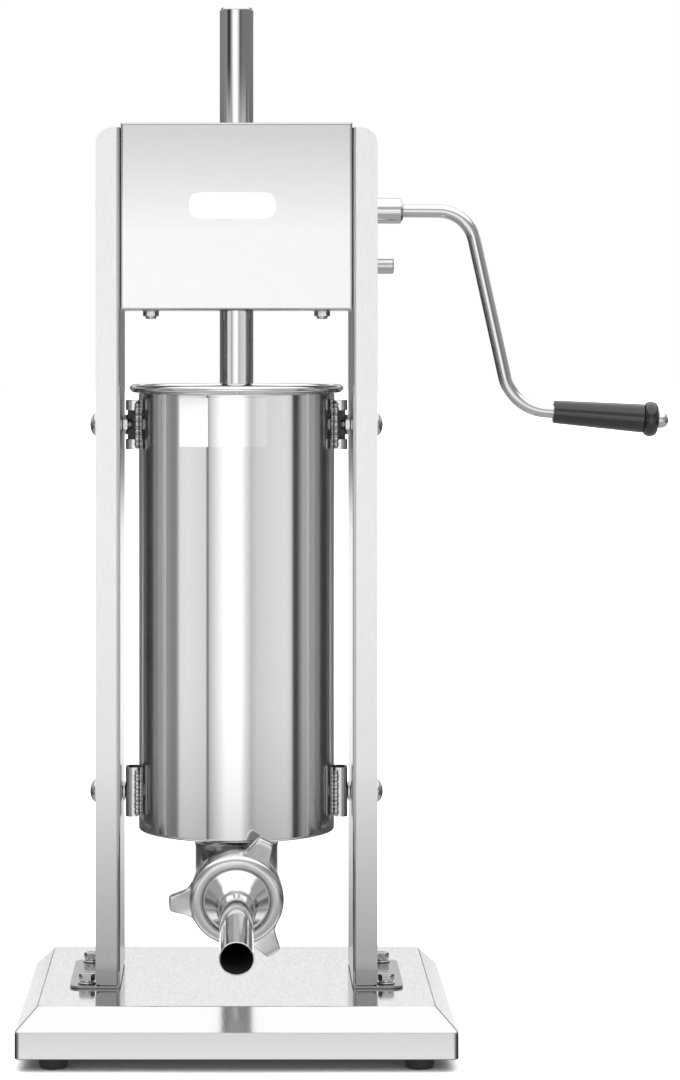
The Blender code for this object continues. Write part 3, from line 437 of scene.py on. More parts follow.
# Painted shading: the front cover's steel is darker than the rear cover's at the top, and is lightened
# towards the bottom, from 650 mm down to 580 mm.
FRONT_STEEL_PAINTED_SHADING = metal("front_stainless_painted_shading", 0.54, (0.18, 0.22), ALONG_X, 1800.0, 0.015)
paint_shading_by_height(FRONT_STEEL_PAINTED_SHADING, 650, 580, 0.735)
ELBOW_STEEL = metal("elbow_stainless", 0.62, (0.15, 0.24), scale=500.0, bump=0.05)
CAST_STEEL = metal("cast_stainless", 0.68, (0.14, 0.24), scale=300.0, bump=0.10)
# A dark steel that stands in for the shade under the pan and inside the brackets.
PAINTED_SHADE_STEEL = metal("painted_shade_stainless", 0.20, (0.45, 0.60), bump=0.05)
WELD_STEEL = metal("weld_stainless", 0.62, (0.16, 0.32), scale=700.0, bump=0.5)
ROD_STEEL = metal("rod_stainless", 0.74, (0.02, 0.045), (1, 1, 0.1), 1500.0)
ARM_STEEL = metal("arm_stainless", 0.68, (0.07, 0.12), bump=0.03)
ZINC = metal("zinc_plate", 0.62, (0.14, 0.28), scale=500.0, bump=0.08, warmth=0.02)
BRONZE = metal("sintered_bronze", 0.50, (0.30, 0.45), scale=2500.0, bump=0.15, warmth=0.5)
PISTON_METAL = metal("piston_aluminium", 0.82, (0.18, 0.28), bump=0.05)
RUBBER = moulded("foot_rubber", (0.015, 0.015, 0.015), (0.55, 0.75), 0.3)
GRIP_BLACK = moulded("grip_black", (0.006, 0.006, 0.006), (0.12, 0.20), 0.05, 0.6)
SILICONE = moulded("white_silicone", (0.80, 0.80, 0.77), (0.40, 0.55), 0.1)
NYLON = moulded("white_nylon", (0.78, 0.78, 0.76), (0.30, 0.45), 0.1)
BADGE_WHITE = moulded("badge_white", (0.90, 0.90, 0.90), (0.25, 0.35), 0.0, 0.5)
LABEL_WHITE = moulded("label_white", (0.66, 0.66, 0.66), (0.30, 0.40), 0.02, 0.3)

SMOOTH_ANGLE, BEVEL_ANGLE = radians(32), radians(40)


def in_scene(name, data):
    """An object of this data, in the scene."""
    made = bpy.data.objects.new(name, data)
    bpy.context.scene.collection.objects.link(made)
    return made


def piece(name, mesh, surface, part="", body="frame", at=(0, 0, 0), turn=None, bevel=0.0):
    """An object of this mesh at a place in the machine's frame, riding on a body.

    The part is the CAD node that it stands for, if any.
    """
    mesh.materials.clear()
    mesh.materials.append(surface)
    mesh.shade_smooth()
    mesh.set_sharp_from_angle(angle=SMOOTH_ANGLE)
    made = in_scene(name, mesh)
    if turn is not None:
        made.rotation_mode = "QUATERNION"
        made.rotation_quaternion = turn
    made.location = CENTRE + Vector(at) * MM
    if bevel:
        edge = made.modifiers.new("edges", "BEVEL")
        edge.width = bevel * MM
        edge.segments = 2
        edge.limit_method = "ANGLE"
        edge.angle_limit = BEVEL_ANGLE
        edge.harden_normals = True
    made.modifiers.new("shading", "WEIGHTED_NORMAL").keep_sharp = True
    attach(made, body)
    if part:
        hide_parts(part)
    return made


def paint_shade(made, in_shade):
    """Paints shade on the faces that this picks out, with a dark rough steel."""
    made.data.materials.append(PAINTED_SHADE_STEEL)
    for face in made.data.polygons:
        if in_shade(face):
            face.material_index = 1


# Base

PAN_LOW, PAN_HIGH = span("base_pan")
PAN_SHEET, PAN_SLOPE, PAN_LIP, PAN_CORNER = 1.5, 15.0, 30.0, 4.0
PAN_TOP_INSET = PAN_SLOPE + 30
SKIRT_TOP = PAN_LOW.z + 18.8
BOLT_HOLE, FOOT_HOLE = 3.3, 3.0


def base_pan():
    low, top, sheet = PAN_LOW.z, PAN_HIGH.z, PAN_SHEET
    length, depth = PAN_HIGH.x - PAN_LOW.x, PAN_HIGH.y - PAN_LOW.y
    outside = [(PAN_LIP, low), (0, low), (0, SKIRT_TOP), (PAN_SLOPE, top), (PAN_TOP_INSET, top)]
    drawn_in = sheet * tan(radians(22.5))
    inside = [(PAN_TOP_INSET, top - sheet), (PAN_SLOPE + sheet - drawn_in, top - sheet)]
    inside += [(sheet, SKIRT_TOP - drawn_in), (sheet, low + sheet), (PAN_LIP, low + sheet)]
    outer_bends, inner_bends = (0.9, 2.2, 1.6), (0.8, 0.8, 0.8)
    shape = bmesh.new()
    sides = []
    for corners, bends, corner in ((outside, outer_bends, PAN_CORNER), (inside, inner_bends, PAN_CORNER - 1)):
        rings = []
        for inset, height in bent_profile(corners, bends):
            outline = rounded_rectangle(length - 2 * inset, depth - 2 * inset, corner)
            rings.append(ring_of(shape, at_height(outline, height)))
        skin(shape, rings)
        sides.append(rings)
    outer, inner = sides
    skin(shape, [inner[-1], outer[0]])
    shape.faces.new(outer[-1])
    shape.faces.new(inner[0])
    pan = mesh_of(shape)
    holes = drills([f"foot_bolt_{corner}" for corner in CORNERS], BOLT_HOLE, top - 5, top + 5)
    holes += drills([f"foot_{corner}" for corner in CORNERS], FOOT_HOLE, low - 5, low + 5)
    return cut(pan, *holes)


def rubber_foot():
    """A foot and the plug that holds it in the pan's lip."""
    radius, foot, top = 11.0, 9.7, PAN_LOW.z - 0.3
    over_lip = PAN_LOW.z + PAN_SHEET + 0.3
    plug_top = over_lip + 4
    profile = [(0, 0.6), (5.0, 0.6), (5.6, 0), (foot - 1.6, 0)]
    profile += arc((foot - 1.2, 1.2), 1.2, -80, 0, 6)
    profile += arc((radius - 1.0, top - 1.0), 1.0, 0, 90, 6)
    profile += [(2.7, top), (2.7, over_lip), (4.2, over_lip + 0.5), (4.0, over_lip + 1.2)]
    return turned(profile + [(2.4, plug_top), (0, plug_top)], 64)


def washer(inner, outer, low, high):
    edge = 0.25
    return turned(eased((inner, low), (outer, low, edge), (outer, high, edge), (inner, high)), 64)


def hex_head(flats, low, high):
    """A hexagonal head whose top corners are turned off."""
    prism = extruded(hexagon(flats), low, high)
    rounded = [(0, low - 1), (flats, low - 1), (flats, high - 2.2), (flats * 0.46, high), (0, high)]
    return trimmed(prism, turned(rounded, 72))


def hex_bolt(flats, head_low, head_high, shank_end, shank=3.0):
    thread = threaded(shank_end + 0.6, head_low - 2.0, shank - 0.05, shank - 0.55, 1.0)
    profile = [(0, shank_end), (shank - 0.8, shank_end)] + thread
    profile += [(shank - 0.05, head_low - 1.6), (shank - 0.05, head_low + 0.5), (0, head_low + 0.5)]
    return added(hex_head(flats, head_low, head_high), turned(profile, 48))


def build_base():
    base = piece("base", base_pan(), PAN_STEEL, "base_pan", bevel=0.3)
    # Painted shade on the pan's downward faces.
    paint_shade(base, lambda face: face.normal.z < -0.5)
    for corner in CORNERS:
        foot, bolt = f"foot_{corner}", f"foot_bolt_{corner}"
        piece(f"rubber_{foot}", rubber_foot(), RUBBER, foot, at=under(foot))
        low, high = span(bolt)
        spot, seat = under(bolt), high.z - 6.6
        piece(f"hex_{bolt}", hex_bolt(10.0, seat + 2.2, high.z, low.z), ZINC, bolt, at=spot)
        piece(f"washer_{corner}", washer(3.1, 6.5, seat, seat + 1.0), ZINC, at=spot)
        piece(f"spring_washer_{corner}", washer(3.1, 5.2, seat + 1.05, seat + 2.15), ZINC, at=spot)


# Columns

COLUMN_LOW, COLUMN_HIGH = span("column_right")
COLUMN_IN, COLUMN_OUT, COLUMN_SHEET = COLUMN_LOW.x, 100.0, 1.5
COLUMN_BEND, COLUMN_CORNER, FOOT_BEND, FLANGE_CORNER = 3.0, 12.0, 3.2, 4.0
TAB_SHEET, TAB_CORNER = 1.5, 8.0
PIN_HOLE = 4.3
UPPER_PIN_Z = middle_of("pivot_bolt_upper_right").z / MM
LOWER_PIN_Z = middle_of("pivot_bolt_lower_right").z / MM
INPUT_Z = middle_of("input_bush_right").z / MM
OUTPUT_Z = middle_of("output_bush_right").z / MM
SHAFT_Y = (middle_of("input_bush_right") - CENTRE).y / MM


def outside_top_corner():
    """What lies outside the rounded outer corner of the right-hand column's top."""
    radius, x, z = COLUMN_CORNER, COLUMN_OUT, COLUMN_HIGH.z
    outline = arc((x - radius, z - radius), radius, 0, 90, 24)
    outline += [(x - radius, z + 5), (x + 5, z + 5), (x + 5, z - radius)]
    return profile_along_y(extruded(outline, -60, 60))


def side_cutters(shaft_hole):
    """Drills for the pivot bolts and the shafts, through the right-hand column's side."""
    cutters = [shifted(along_x(bar(PIN_HOLE, 77, 105, steps=40)), z=z) for z in (UPPER_PIN_Z, LOWER_PIN_Z)]
    for z in (INPUT_Z, OUTPUT_Z):
        cutters.append(shifted(along_x(bar(shaft_hole, 77, 105)), y=SHAFT_Y, z=z))
    return cutters


def column_channel():
    depth, sheet, bend, low = COLUMN_HIGH.y, COLUMN_SHEET, COLUMN_BEND, COLUMN_LOW.z
    flange_low = low + TAB_SHEET + 0.6
    front, rear = (COLUMN_IN + bend, -depth + bend), (COLUMN_IN + bend, depth - bend)
    outer = [(COLUMN_OUT, -depth)] + arc(front, bend, 270, 180, 10)
    outer += arc(rear, bend, 180, 90, 10) + [(COLUMN_OUT, depth)]
    inner = [(COLUMN_OUT, depth - sheet)] + arc(rear, bend - sheet, 90, 180, 10)
    inner += arc(front, bend - sheet, 180, 270, 10) + [(COLUMN_OUT, -depth + sheet)]
    channel = extruded(outer + inner, flange_low, COLUMN_HIGH.z)
    x, z = COLUMN_OUT - FLANGE_CORNER, flange_low + FLANGE_CORNER
    off = arc((x, z), FLANGE_CORNER, 270, 360, 8) + [(x + 9, z), (x + 9, z - 9), (x, z - 9)]
    channel = cut(channel, profile_along_y(extruded(off, -60, 60)))
    corner = (COLUMN_IN + FOOT_BEND, low + FOOT_BEND)
    foot = [(COLUMN_HIGH.x, low + TAB_SHEET), (COLUMN_HIGH.x, low)]
    foot += arc(corner, FOOT_BEND, 270, 180, 12) + [(COLUMN_IN, low + 12), (COLUMN_IN + sheet, low + 12)]
    foot += arc(corner, FOOT_BEND - sheet, 180, 270, 12)[:-1] + [(COLUMN_IN + FOOT_BEND, low + TAB_SHEET)]
    end, edge = COLUMN_HIGH.x - TAB_CORNER, depth - TAB_CORNER
    plan = [(COLUMN_IN - 1, -depth)] + arc((end, -edge), TAB_CORNER, 270, 360, 16)
    plan += arc((end, edge), TAB_CORNER, 0, 90, 16) + [(COLUMN_IN - 1, depth)]
    tab = trimmed(profile_along_y(extruded(foot, -depth, depth)), extruded(plan, low - 1, low + 14))
    holes = drills(("foot_bolt_front_right", "foot_bolt_rear_right"), BOLT_HOLE, low - 1, low + 5)
    return cut(added(channel, tab), outside_top_corner(), *holes, *side_cutters(9.1))


def column_cover():
    low, high = span("column_cover_right")
    sheet = 1.2
    corner = (high.x - COLUMN_CORNER, high.z - COLUMN_CORNER)
    outline = [(high.x, low.z)] + arc(corner, COLUMN_CORNER, 0, 90, 24) + [(low.x, high.z)]
    outline += [(low.x, high.z - sheet)] + arc(corner, COLUMN_CORNER - sheet, 90, 0, 24)
    outline.append((high.x - sheet, low.z))
    return cut(profile_along_y(extruded(outline, low.y, high.y)), *side_cutters(6.6))


def build_columns():
    for side, sign in SIDES:
        channel, cover = on_side(column_channel(), sign), on_side(column_cover(), sign)
        piece(f"channel_{side}", channel, COLUMN_STEEL_PAINTED_SHADE, f"column_{side}", bevel=0.25)
        piece(f"cover_{side}", cover, COLUMN_STEEL_PAINTED_SHADE, f"column_cover_{side}", bevel=0.25)


# Cylinder

BARREL_LOW, BARREL_HIGH = span("cylinder_barrel")
BARREL_RADIUS, BORE_RADIUS = 71.0, 70.0
RIM_RADIUS, BEAD = BARREL_HIGH.x, 2.9
ELBOW_TOP = span("outlet_elbow")[1].z
NECK_Y = span("outlet_elbow")[1].y - 37.0
# How far round from the front each part of the sticker starts and ends, in degrees
LABEL_PARTS = (("block", (-34.5, -16.4), LABEL_WHITE), ("film", (-16.2, 17.6), FILM))
LABEL_LOW, LABEL_TOP = 427.5, 462.0
LABEL_BACK, LABEL_FACE = BARREL_RADIUS + 0.06, BARREL_RADIUS + 0.22
WELD_SIZE = 1.8
BRACKET_DEPTH = span("bracket_upper_right")[1].y


def barrel():
    low, rim, middle = BARREL_LOW.z, BARREL_HIGH.z - BEAD, RIM_RADIUS - BEAD
    profile = [(0, low), (40, low)] + arc((BARREL_RADIUS - 2.5, low + 2.5), 2.5, -90, 0, 10)
    profile += [(BARREL_RADIUS, low + 40), (BARREL_RADIUS, rim - 40), (BARREL_RADIUS, rim - 4.2)]
    profile += [(BARREL_RADIUS + 0.35, rim - 3.2), (BARREL_RADIUS + 1.6, rim - 2.75)]
    profile += arc((middle, rim), BEAD, -100, 90, 24)
    profile += arc((middle, rim), middle - BORE_RADIUS, 90, 180, 12, BEAD)[1:]
    profile += [(BORE_RADIUS, rim - 40), (BORE_RADIUS, low + 40)]
    profile += arc((BORE_RADIUS - 1.0, low + 2.5), 1.0, 0, -90, 8) + [(40, low + 1.5), (0, low + 1.5)]
    return cut(turned(profile, 192), bar(27.5, low - 5, low + 5, 0, NECK_Y, 96))


def label(start, end):
    """A stretch of a blank sticker bent round the cylinder's front."""
    outside = arc((0, 0), LABEL_FACE, start - 90, end - 90, 48)
    inside = arc((0, 0), LABEL_BACK, start - 90, end - 90, 48)
    return extruded(outside + inside[::-1], LABEL_LOW, LABEL_TOP)


def bracket(slotted):
    """A bent strip on the cylinder's right-hand side, open towards the cylinder. Height 0 is its pin's."""
    low, high = span("bracket_upper_right" if slotted else "bracket_lower_right")
    out, depth, bend, sheet = high.x, high.y, 5.0, 2.0
    half = (high.z - low.z) / 2
    front, rear = (out - bend, -depth + bend), (out - bend, depth - bend)
    outline = [(low.x, -depth)] + arc(front, bend, 270, 360, 16) + arc(rear, bend, 0, 90, 16)
    outline += [(low.x, depth), (low.x, depth - sheet)] + arc(rear, bend - sheet, 90, 0, 16)
    outline += arc(front, bend - sheet, 360, 270, 16) + [(low.x, -depth + sheet)]
    strip = extruded(outline, -half, half)
    if slotted:
        return cut(strip, block((60, -20, -10.5), (90, depth - sheet - 0.1, 10.5)))
    return cut(strip, along_x(bar(PIN_HOLE, out - 5, out + 5, steps=40)))


def inside_bracket(face):
    """Whether a bracket's face is one that its bent strip shuts in."""
    edge = (BRACKET_DEPTH - 3.0) * MM
    return abs(face.center.y) < edge or (face.center.y > edge and face.normal.y < -0.5)


def bracket_weld(low, high):
    """An uneven bead where a bracket's edge meets the cylinder."""
    rings = []
    count = 36
    for i in range(count + 1):
        swell = 1.0 + 0.18 * sin(i * 2.1) + 0.1 * sin(i * 0.9)
        ends = min(1.0, 0.25 + 0.35 * min(i, count - i))
        outline = circle(WELD_SIZE * swell * ends, steps=12)
        rings.append(at_height(outline, low + (high - low) * i / count))
    return lofted(rings)


def pivot_bolt(level):
    low, high = span(f"pivot_bolt_{level}_right")
    radius, head, top, edge = 4.0, COLUMN_OUT, high.x, 8.5
    profile = [(0, low.x), (radius - 0.9, low.x)]
    profile += threaded(low.x + 0.6, head - 6, radius, radius - 0.6, 1.25)
    profile += [(radius, head - 5), (radius, head), (edge - 0.2, head), (edge, head + 0.2)]
    dome = arc((0, head + 1), edge, 0, 81, 9, top - head - 1)
    return along_x(turned(profile + dome[1:] + [(0, top)], 64))


def pin_nut(inner, outer):
    flats = 13.0
    crown, chamfer = flats * 0.46, flats * 0.56
    rounded = [(0, inner), (crown, inner), (chamfer, inner + 0.5)]
    rounded += [(chamfer, outer - 0.5), (crown, outer), (0, outer)]
    solid = trimmed(extruded(hexagon(flats), inner, outer), turned(rounded, 72))
    return along_x(cut(solid, bar(4.1, inner - 1, outer + 1, steps=40)))


def build_cylinder():
    piece("cylinder", barrel(), MIRROR, "cylinder_barrel")
    for name, ends, surface in LABEL_PARTS:
        piece(f"label_{name}", label(*ends), surface)
    for level, z in (("upper", UPPER_PIN_Z), ("lower", LOWER_PIN_Z)):
        low, high = span(f"pivot_nut_{level}_right")
        corner = span(f"bracket_{level}_right")[0]
        for side, sign in SIDES:
            where, at = f"{level}_{side}", (0, 0, z)
            strip = on_side(bracket(level == "upper"), sign)
            made = piece(f"strip_{where}", strip, CAST_STEEL, f"bracket_{where}", at=at, bevel=0.3)
            # Painted shade on the faces inside the bent strip.
            paint_shade(made, inside_bracket)
            bolt, nut = on_side(pivot_bolt(level), sign), on_side(pin_nut(low.x, high.x), sign)
            piece(f"pin_{where}", bolt, ZINC, f"pivot_bolt_{where}", at=at)
            piece(f"thin_nut_{where}", nut, ZINC, f"pivot_nut_{where}", at=at)
            for end, y in (("front", corner.y - WELD_SIZE), ("rear", -corner.y + WELD_SIZE)):
                spot = (sign * (corner.x + 0.4), y, z)
                piece(f"bead_{where}_{end}", bracket_weld(-17, 17), WELD_STEEL, at=spot)


# Outlet

OUTLET_DROP = radians(9)
OUTLET_AXIS = Vector((0, -cos(OUTLET_DROP), -sin(OUTLET_DROP)))
OUTLET_TURN = Matrix.Rotation(pi / 2 + OUTLET_DROP, 3, "X").to_quaternion()
OUTLET_FACE = Vector((0.0, -90.0, 111.0))
ELBOW_RADIUS, ELBOW_SHEET, ELBOW_BEND, WELD_RADIUS = 29.5, 2.0, 31.0, 7.5
SPIGOT_BORE, SPIGOT_START, SPIGOT_END = 26.0, -25.0, -7.8
THREAD_PITCH, THREAD_TURNS = 3.0, 5
THREAD_RADII = (27.1, 27.7, 28.0, 27.7)
NUT_RADIUS, NUT_BORE, NUT_LIP, NUT_DEPTH = 33.0, 28.4, 24.9, 18.0
WING_ANGLES = (64.0, 184.0, 304.0)
WING_FRONT, WING_BACK = -4.0, -11.0
# Half of a wing, as (distance from the nut's axis, half width)
WING_HALF_OUTLINE = ((30.3, 13.6), (32.6, 10.8), (35.0, 9.0), (39.0, 7.6), (43.0, 6.5), (47.3, 5.5))
WING_TIP = WING_HALF_OUTLINE[-1][0]
# The nut's outside from front to back, as (share of the wing's reach, less this much, height on a wing,
# height on the plain ring)
NUT_SECTION = (
    (0.0, 0.0, -4.4, -4.4),
    (0.30, 0.0, WING_FRONT - 0.15, -5.2),
    (0.70, 0.0, WING_FRONT, -6.0),
    (1.0, 1.9, WING_FRONT, -6.8),
    (1.0, 0.9, WING_FRONT - 0.3, -7.6),
    (1.0, 0.25, WING_FRONT - 1.0, -8.3),
    (1.0, 0.0, WING_FRONT - 2.0, -9.0),
    (1.0, 0.0, -7.2, -9.8),
    (1.0, 0.0, WING_BACK + 1.6, -10.6),
    (1.0, 0.3, WING_BACK + 0.7, -11.4),
    (1.0, 0.9, WING_BACK + 0.2, -12.2),
    (1.0, 1.8, WING_BACK, -13.0),
    (0.5, 0.0, WING_BACK, -13.8),
    (0.12, 0.0, WING_BACK - 0.1, -14.6),
    (0.0, 0.0, WING_BACK - 0.9, -15.4),
)


def elbow():
    """A bent pipe whose top flares into its weld and whose far end carries the thread's rings."""
    corner_z = OUTLET_FACE.z + (NECK_Y - OUTLET_FACE.y) * tan(OUTLET_DROP)
    bend_turn = pi / 2 - OUTLET_DROP
    centre = Vector((0, NECK_Y - ELBOW_BEND, corner_z + ELBOW_BEND * tan(bend_turn / 2)))
    across, down = Vector((1, 0, 0)), Vector((0, 0, -1))
    sides, steps = 96, 40

    def flared(distance):
        """The pipe's radius this far below the cylinder's floor."""
        left = max(0.0, WELD_RADIUS - distance)
        return ELBOW_RADIUS + (WELD_RADIUS - sqrt(max(0.0, WELD_RADIUS**2 - left**2)))

    stations = []
    for distance in (0.0, 0.4, 1.0):
        stations.append((Vector((0, NECK_Y, ELBOW_TOP - distance)), down, flared(distance)))
    for i in range(steps + 1):
        turn = bend_turn * (i / steps) ** 1.25
        point = centre + ELBOW_BEND * Vector((0, cos(turn), -sin(turn)))
        distance = ELBOW_TOP - centre.z + ELBOW_BEND * turn
        stations.append((point, Vector((0, -sin(turn), -cos(turn))), flared(distance)))
    ends = [(SPIGOT_START - 1.2, ELBOW_RADIUS), (SPIGOT_START - 0.3, ELBOW_RADIUS - 0.3)]
    ends.append((SPIGOT_START, 27.4))
    for i in range(THREAD_TURNS * 4):
        ends.append((SPIGOT_START + 1.5 + THREAD_PITCH * i / 4, THREAD_RADII[i % 4]))
    for along, radius in ends + [(SPIGOT_END - 0.8, 27.6), (SPIGOT_END, 27.0)]:
        stations.append((OUTLET_FACE + OUTLET_AXIS * along, OUTLET_AXIS, radius))
    rings = [ring_across(point, way, across, radius, sides) for point, way, radius in stations]
    for point, way, radius in reversed(stations):
        in_spigot = (point - OUTLET_FACE).dot(OUTLET_AXIS) > SPIGOT_START
        bore = SPIGOT_BORE if in_spigot else ELBOW_RADIUS - ELBOW_SHEET
        rings.append(ring_across(point, way, across, bore, sides))
    return looped(rings)


def wing_reach(angle):
    """The nut's outer radius at an angle in degrees round its axis."""
    off = min(abs((angle - wing + 180) % 360 - 180) for wing in WING_ANGLES)
    outline = [(pi / 2, NUT_RADIUS)]
    outline += [(acos(x / hypot(x, y)), hypot(x, y)) for x, y in WING_HALF_OUTLINE]
    turn = radians(off)
    tip = outline[-1][0]
    if turn <= tip:
        return WING_TIP / cos(turn) - 0.5 * (turn / tip) ** 6
    for (wide, near), (narrow, far) in zip(outline, outline[1:]):
        if narrow <= turn <= wide:
            share = (turn - narrow) / (wide - narrow)
            return max(NUT_RADIUS, far + (near - far) * share)
    return NUT_RADIUS


def smoothed(values, rounds):
    """The values, which go round a circle, evened out with their neighbours."""
    for _ in range(rounds):
        values = [(values[i - 1] + 2 * v + values[(i + 1) % len(values)]) / 4 for i, v in enumerate(values)]
    return values


def ring_nut():
    """A rounded ring with three cast wings, drawn about Z with its front face at height 0."""
    count = 540
    reaches = smoothed([wing_reach(360 * i / count) for i in range(count)], 6)
    front = [(NUT_LIP, -2.8)] + arc((NUT_LIP + 1.2, -1.2), 1.2, 180, 90, 5)
    front += arc((27.6, -4.6), 5.4, 90, 0, 10, 4.6)[:-1]
    back = [(NUT_RADIUS, -NUT_DEPTH + 1.0), (NUT_RADIUS - 0.3, -NUT_DEPTH + 0.3)]
    back += [(NUT_RADIUS - 1.0, -NUT_DEPTH), (NUT_BORE + 1.0, -NUT_DEPTH)]
    back += threaded(-NUT_DEPTH + 0.8, -4.0, NUT_BORE, NUT_BORE + 0.7, THREAD_PITCH) + [(NUT_BORE, -2.8)]
    rings = []
    for i, reach in enumerate(reaches):
        a = 2 * pi * i / count
        over = reach - NUT_RADIUS
        rise = min(1.0, over / 2.5)
        rise = rise * rise * (3 - 2 * rise)
        middle = []
        for share, less, on_wing, on_ring in NUT_SECTION:
            out = max(0.0, over * share - less * rise)
            middle.append((NUT_RADIUS + out, on_ring + (on_wing - on_ring) * rise))
        rings.append([(r * cos(a), r * sin(a), z) for r, z in front + middle + back])
    return looped(rings)


def stuffing_tube():
    """A spun funnel and its straight tube, drawn about Z from the flange forwards."""
    tube, sheet, end = 11.8, 0.8, 114.4
    bore = tube - sheet
    outer = [(23.0, -5.6), (26.8, -5.6), (27.2, -5.2), (27.2, -3.5), (26.8, -3.1), (24.9, -3.1)]
    outer += arc((24.9, -2.1), 1.0, 270, 200, 5)
    cone_foot, cone_head = Vector((23.4, -1.0)), Vector((14.6, 7.6))
    outer += [tuple(cone_foot.lerp(cone_head, i / 6)) for i in range(7)]
    fillet = rounded_corner((23.4, -1.0), (tube, 11.02), (tube, 30.0), 8.0, 10)
    outer += fillet + [(tube, 40.0), (tube, 80.0), (tube, end - 0.25), (tube - 0.2, end)]
    inner = [(bore + 0.15, end), (bore, end - 0.2), (bore, 80.0), (bore, 40.0)]
    inner += [(r - sheet, z - 0.3) for r, z in reversed(fillet)]
    return turned(outer + inner + [(13.9, 7.0), (22.5, -1.9)], 128)


def outlet_seal():
    return turned(eased((23.5, -7.5, 0.3), (27.2, -7.5, 0.3), (27.2, -5.9, 0.3), (23.5, -5.9, 0.3)), 96)


def build_outlet():
    piece("elbow", elbow(), ELBOW_STEEL, "outlet_elbow")
    for name, mesh, surface, part, body in (
        ("seal_ring", outlet_seal(), SILICONE, "outlet_seal", "frame"),
        ("funnel_and_tube", stuffing_tube(), MIRROR, "stuffing_tube", "tube"),
        ("wing_nut", ring_nut(), CAST_STEEL, "ring_nut", "nut"),
    ):
        piece(name, mesh, surface, part, body, OUTLET_FACE, OUTLET_TURN)


# Gear housing

HOUSING_LOW, HOUSING_HIGH = span("housing_front_cover")
HOUSING_SHEET, HOUSING_BEND = 1.2, 2.0
SIDE_FLANGE, BOTTOM_FLANGE = 8.0, 22.0
ROD_RADIUS = 12.2
UPSIDE_DOWN = Matrix.Rotation(pi, 3, "X").to_quaternion()


def rounded_shell(inset, end):
    """The cover's outside drawn in by this much: a rounded block, open-ended towards the machine."""
    face, bend, half = HOUSING_LOW.y, HOUSING_BEND, HOUSING_HIGH.x
    low, top, radius = HOUSING_LOW.z, HOUSING_HIGH.z, HOUSING_BEND - inset
    profile = [(end, low + inset)] + arc((face + bend, low + bend), radius, 270, 180, 12)
    profile += arc((face + bend, top - bend), radius, 180, 90, 12) + [(end, top - inset)]
    plan = [(-half + inset, end)] + arc((-half + bend, face + bend), radius, 180, 270, 12)
    plan += arc((half - bend, face + bend), radius, 270, 360, 12) + [(half - inset, end)]
    outline = profile_along_x(extruded(profile, -half - 5, half + 5))
    return trimmed(outline, extruded(plan, low - 5, top + 5))


def housing_cover():
    """A folded cover. Its deep top flange is notched for the rod, and its other flanges are short."""
    face, sheet, half = HOUSING_LOW.y, HOUSING_SHEET, HOUSING_HIGH.x
    low, top, end = HOUSING_LOW.z, HOUSING_HIGH.z, HOUSING_HIGH.y
    cutters = [rounded_shell(sheet, end + 5)]
    for flange, rise, start, stop in (
        (SIDE_FLANGE, top - sheet, -half - 5, -half + sheet + 1),
        (SIDE_FLANGE, top - sheet, half - sheet - 1, half + 5),
        (BOTTOM_FLANGE, low + sheet + 1, -half - 5, half + 5),
    ):
        cutters.append(profile_along_x(block((face + flange, low - 5, start), (end + 5, rise, stop))))
    cutters.append(bar(ROD_RADIUS + 4.5, top - 5, top + 5))
    return cut(rounded_shell(0, end), *cutters)


def bridge_plate(name, bolts):
    low, high = span(name)
    plate = extruded(rounded_rectangle(high.x - low.x, high.y - low.y, 3.0), low.z, high.z)
    rod_hole = bar(ROD_RADIUS + 3.2, low.z - 1, high.z + 1)
    return cut(plate, rod_hole, *drills(bolts, BOLT_HOLE, low.z - 1, high.z + 1))


def rod_bush(name):
    low, high = span(name)
    bore, sleeve, flange, edge = ROD_RADIUS + 0.3, ROD_RADIUS + 2.9, high.x, 0.4
    seat = high.z - 3.0
    outside = ((sleeve, low.z, edge), (sleeve, seat), (flange, seat, edge), (flange, high.z, edge))
    return turned(eased((bore, low.z, edge), *outside, (bore, high.z, edge)), 96)


def shaft_bush():
    bore, sleeve, flange, edge = 6.15, 8.7, 10.5, 0.3
    low, high = (corner.x for corner in span("input_bush_right"))
    face = low + 2.0
    outside = ((flange, low, edge), (flange, face), (sleeve, face), (sleeve, high, edge))
    return along_x(turned(eased((bore, low, edge), *outside, (bore, high)), 64))


def badge():
    """A blank domed plate."""
    low, high = span("badge_plate")
    length, height, rise = high.x - low.x, high.z - low.z, high.y - low.y
    rings = []
    for inset, share in ((0, 0.0), (0, 0.35), (0.25, 0.7), (0.8, 0.92), (2.0, 1.0)):
        outline = rounded_rectangle(length - 2 * inset, height - 2 * inset, 7.0 - inset, 12)
        rings.append(at_height(outline, share * rise))
    return profile_along_y(lofted(rings))


def housing_bolt(low, high):
    """A bolt with a rounded end, drawn head up, for the CAD node between these heights."""
    edge = -low
    end = turned([(0, edge - 3), (3.9, edge - 3), (3.9, edge - 0.5), (3.4, edge), (0, edge)], 48)
    return added(hex_bolt(10.0, edge - 5.6, edge - 1.7, -high), end)


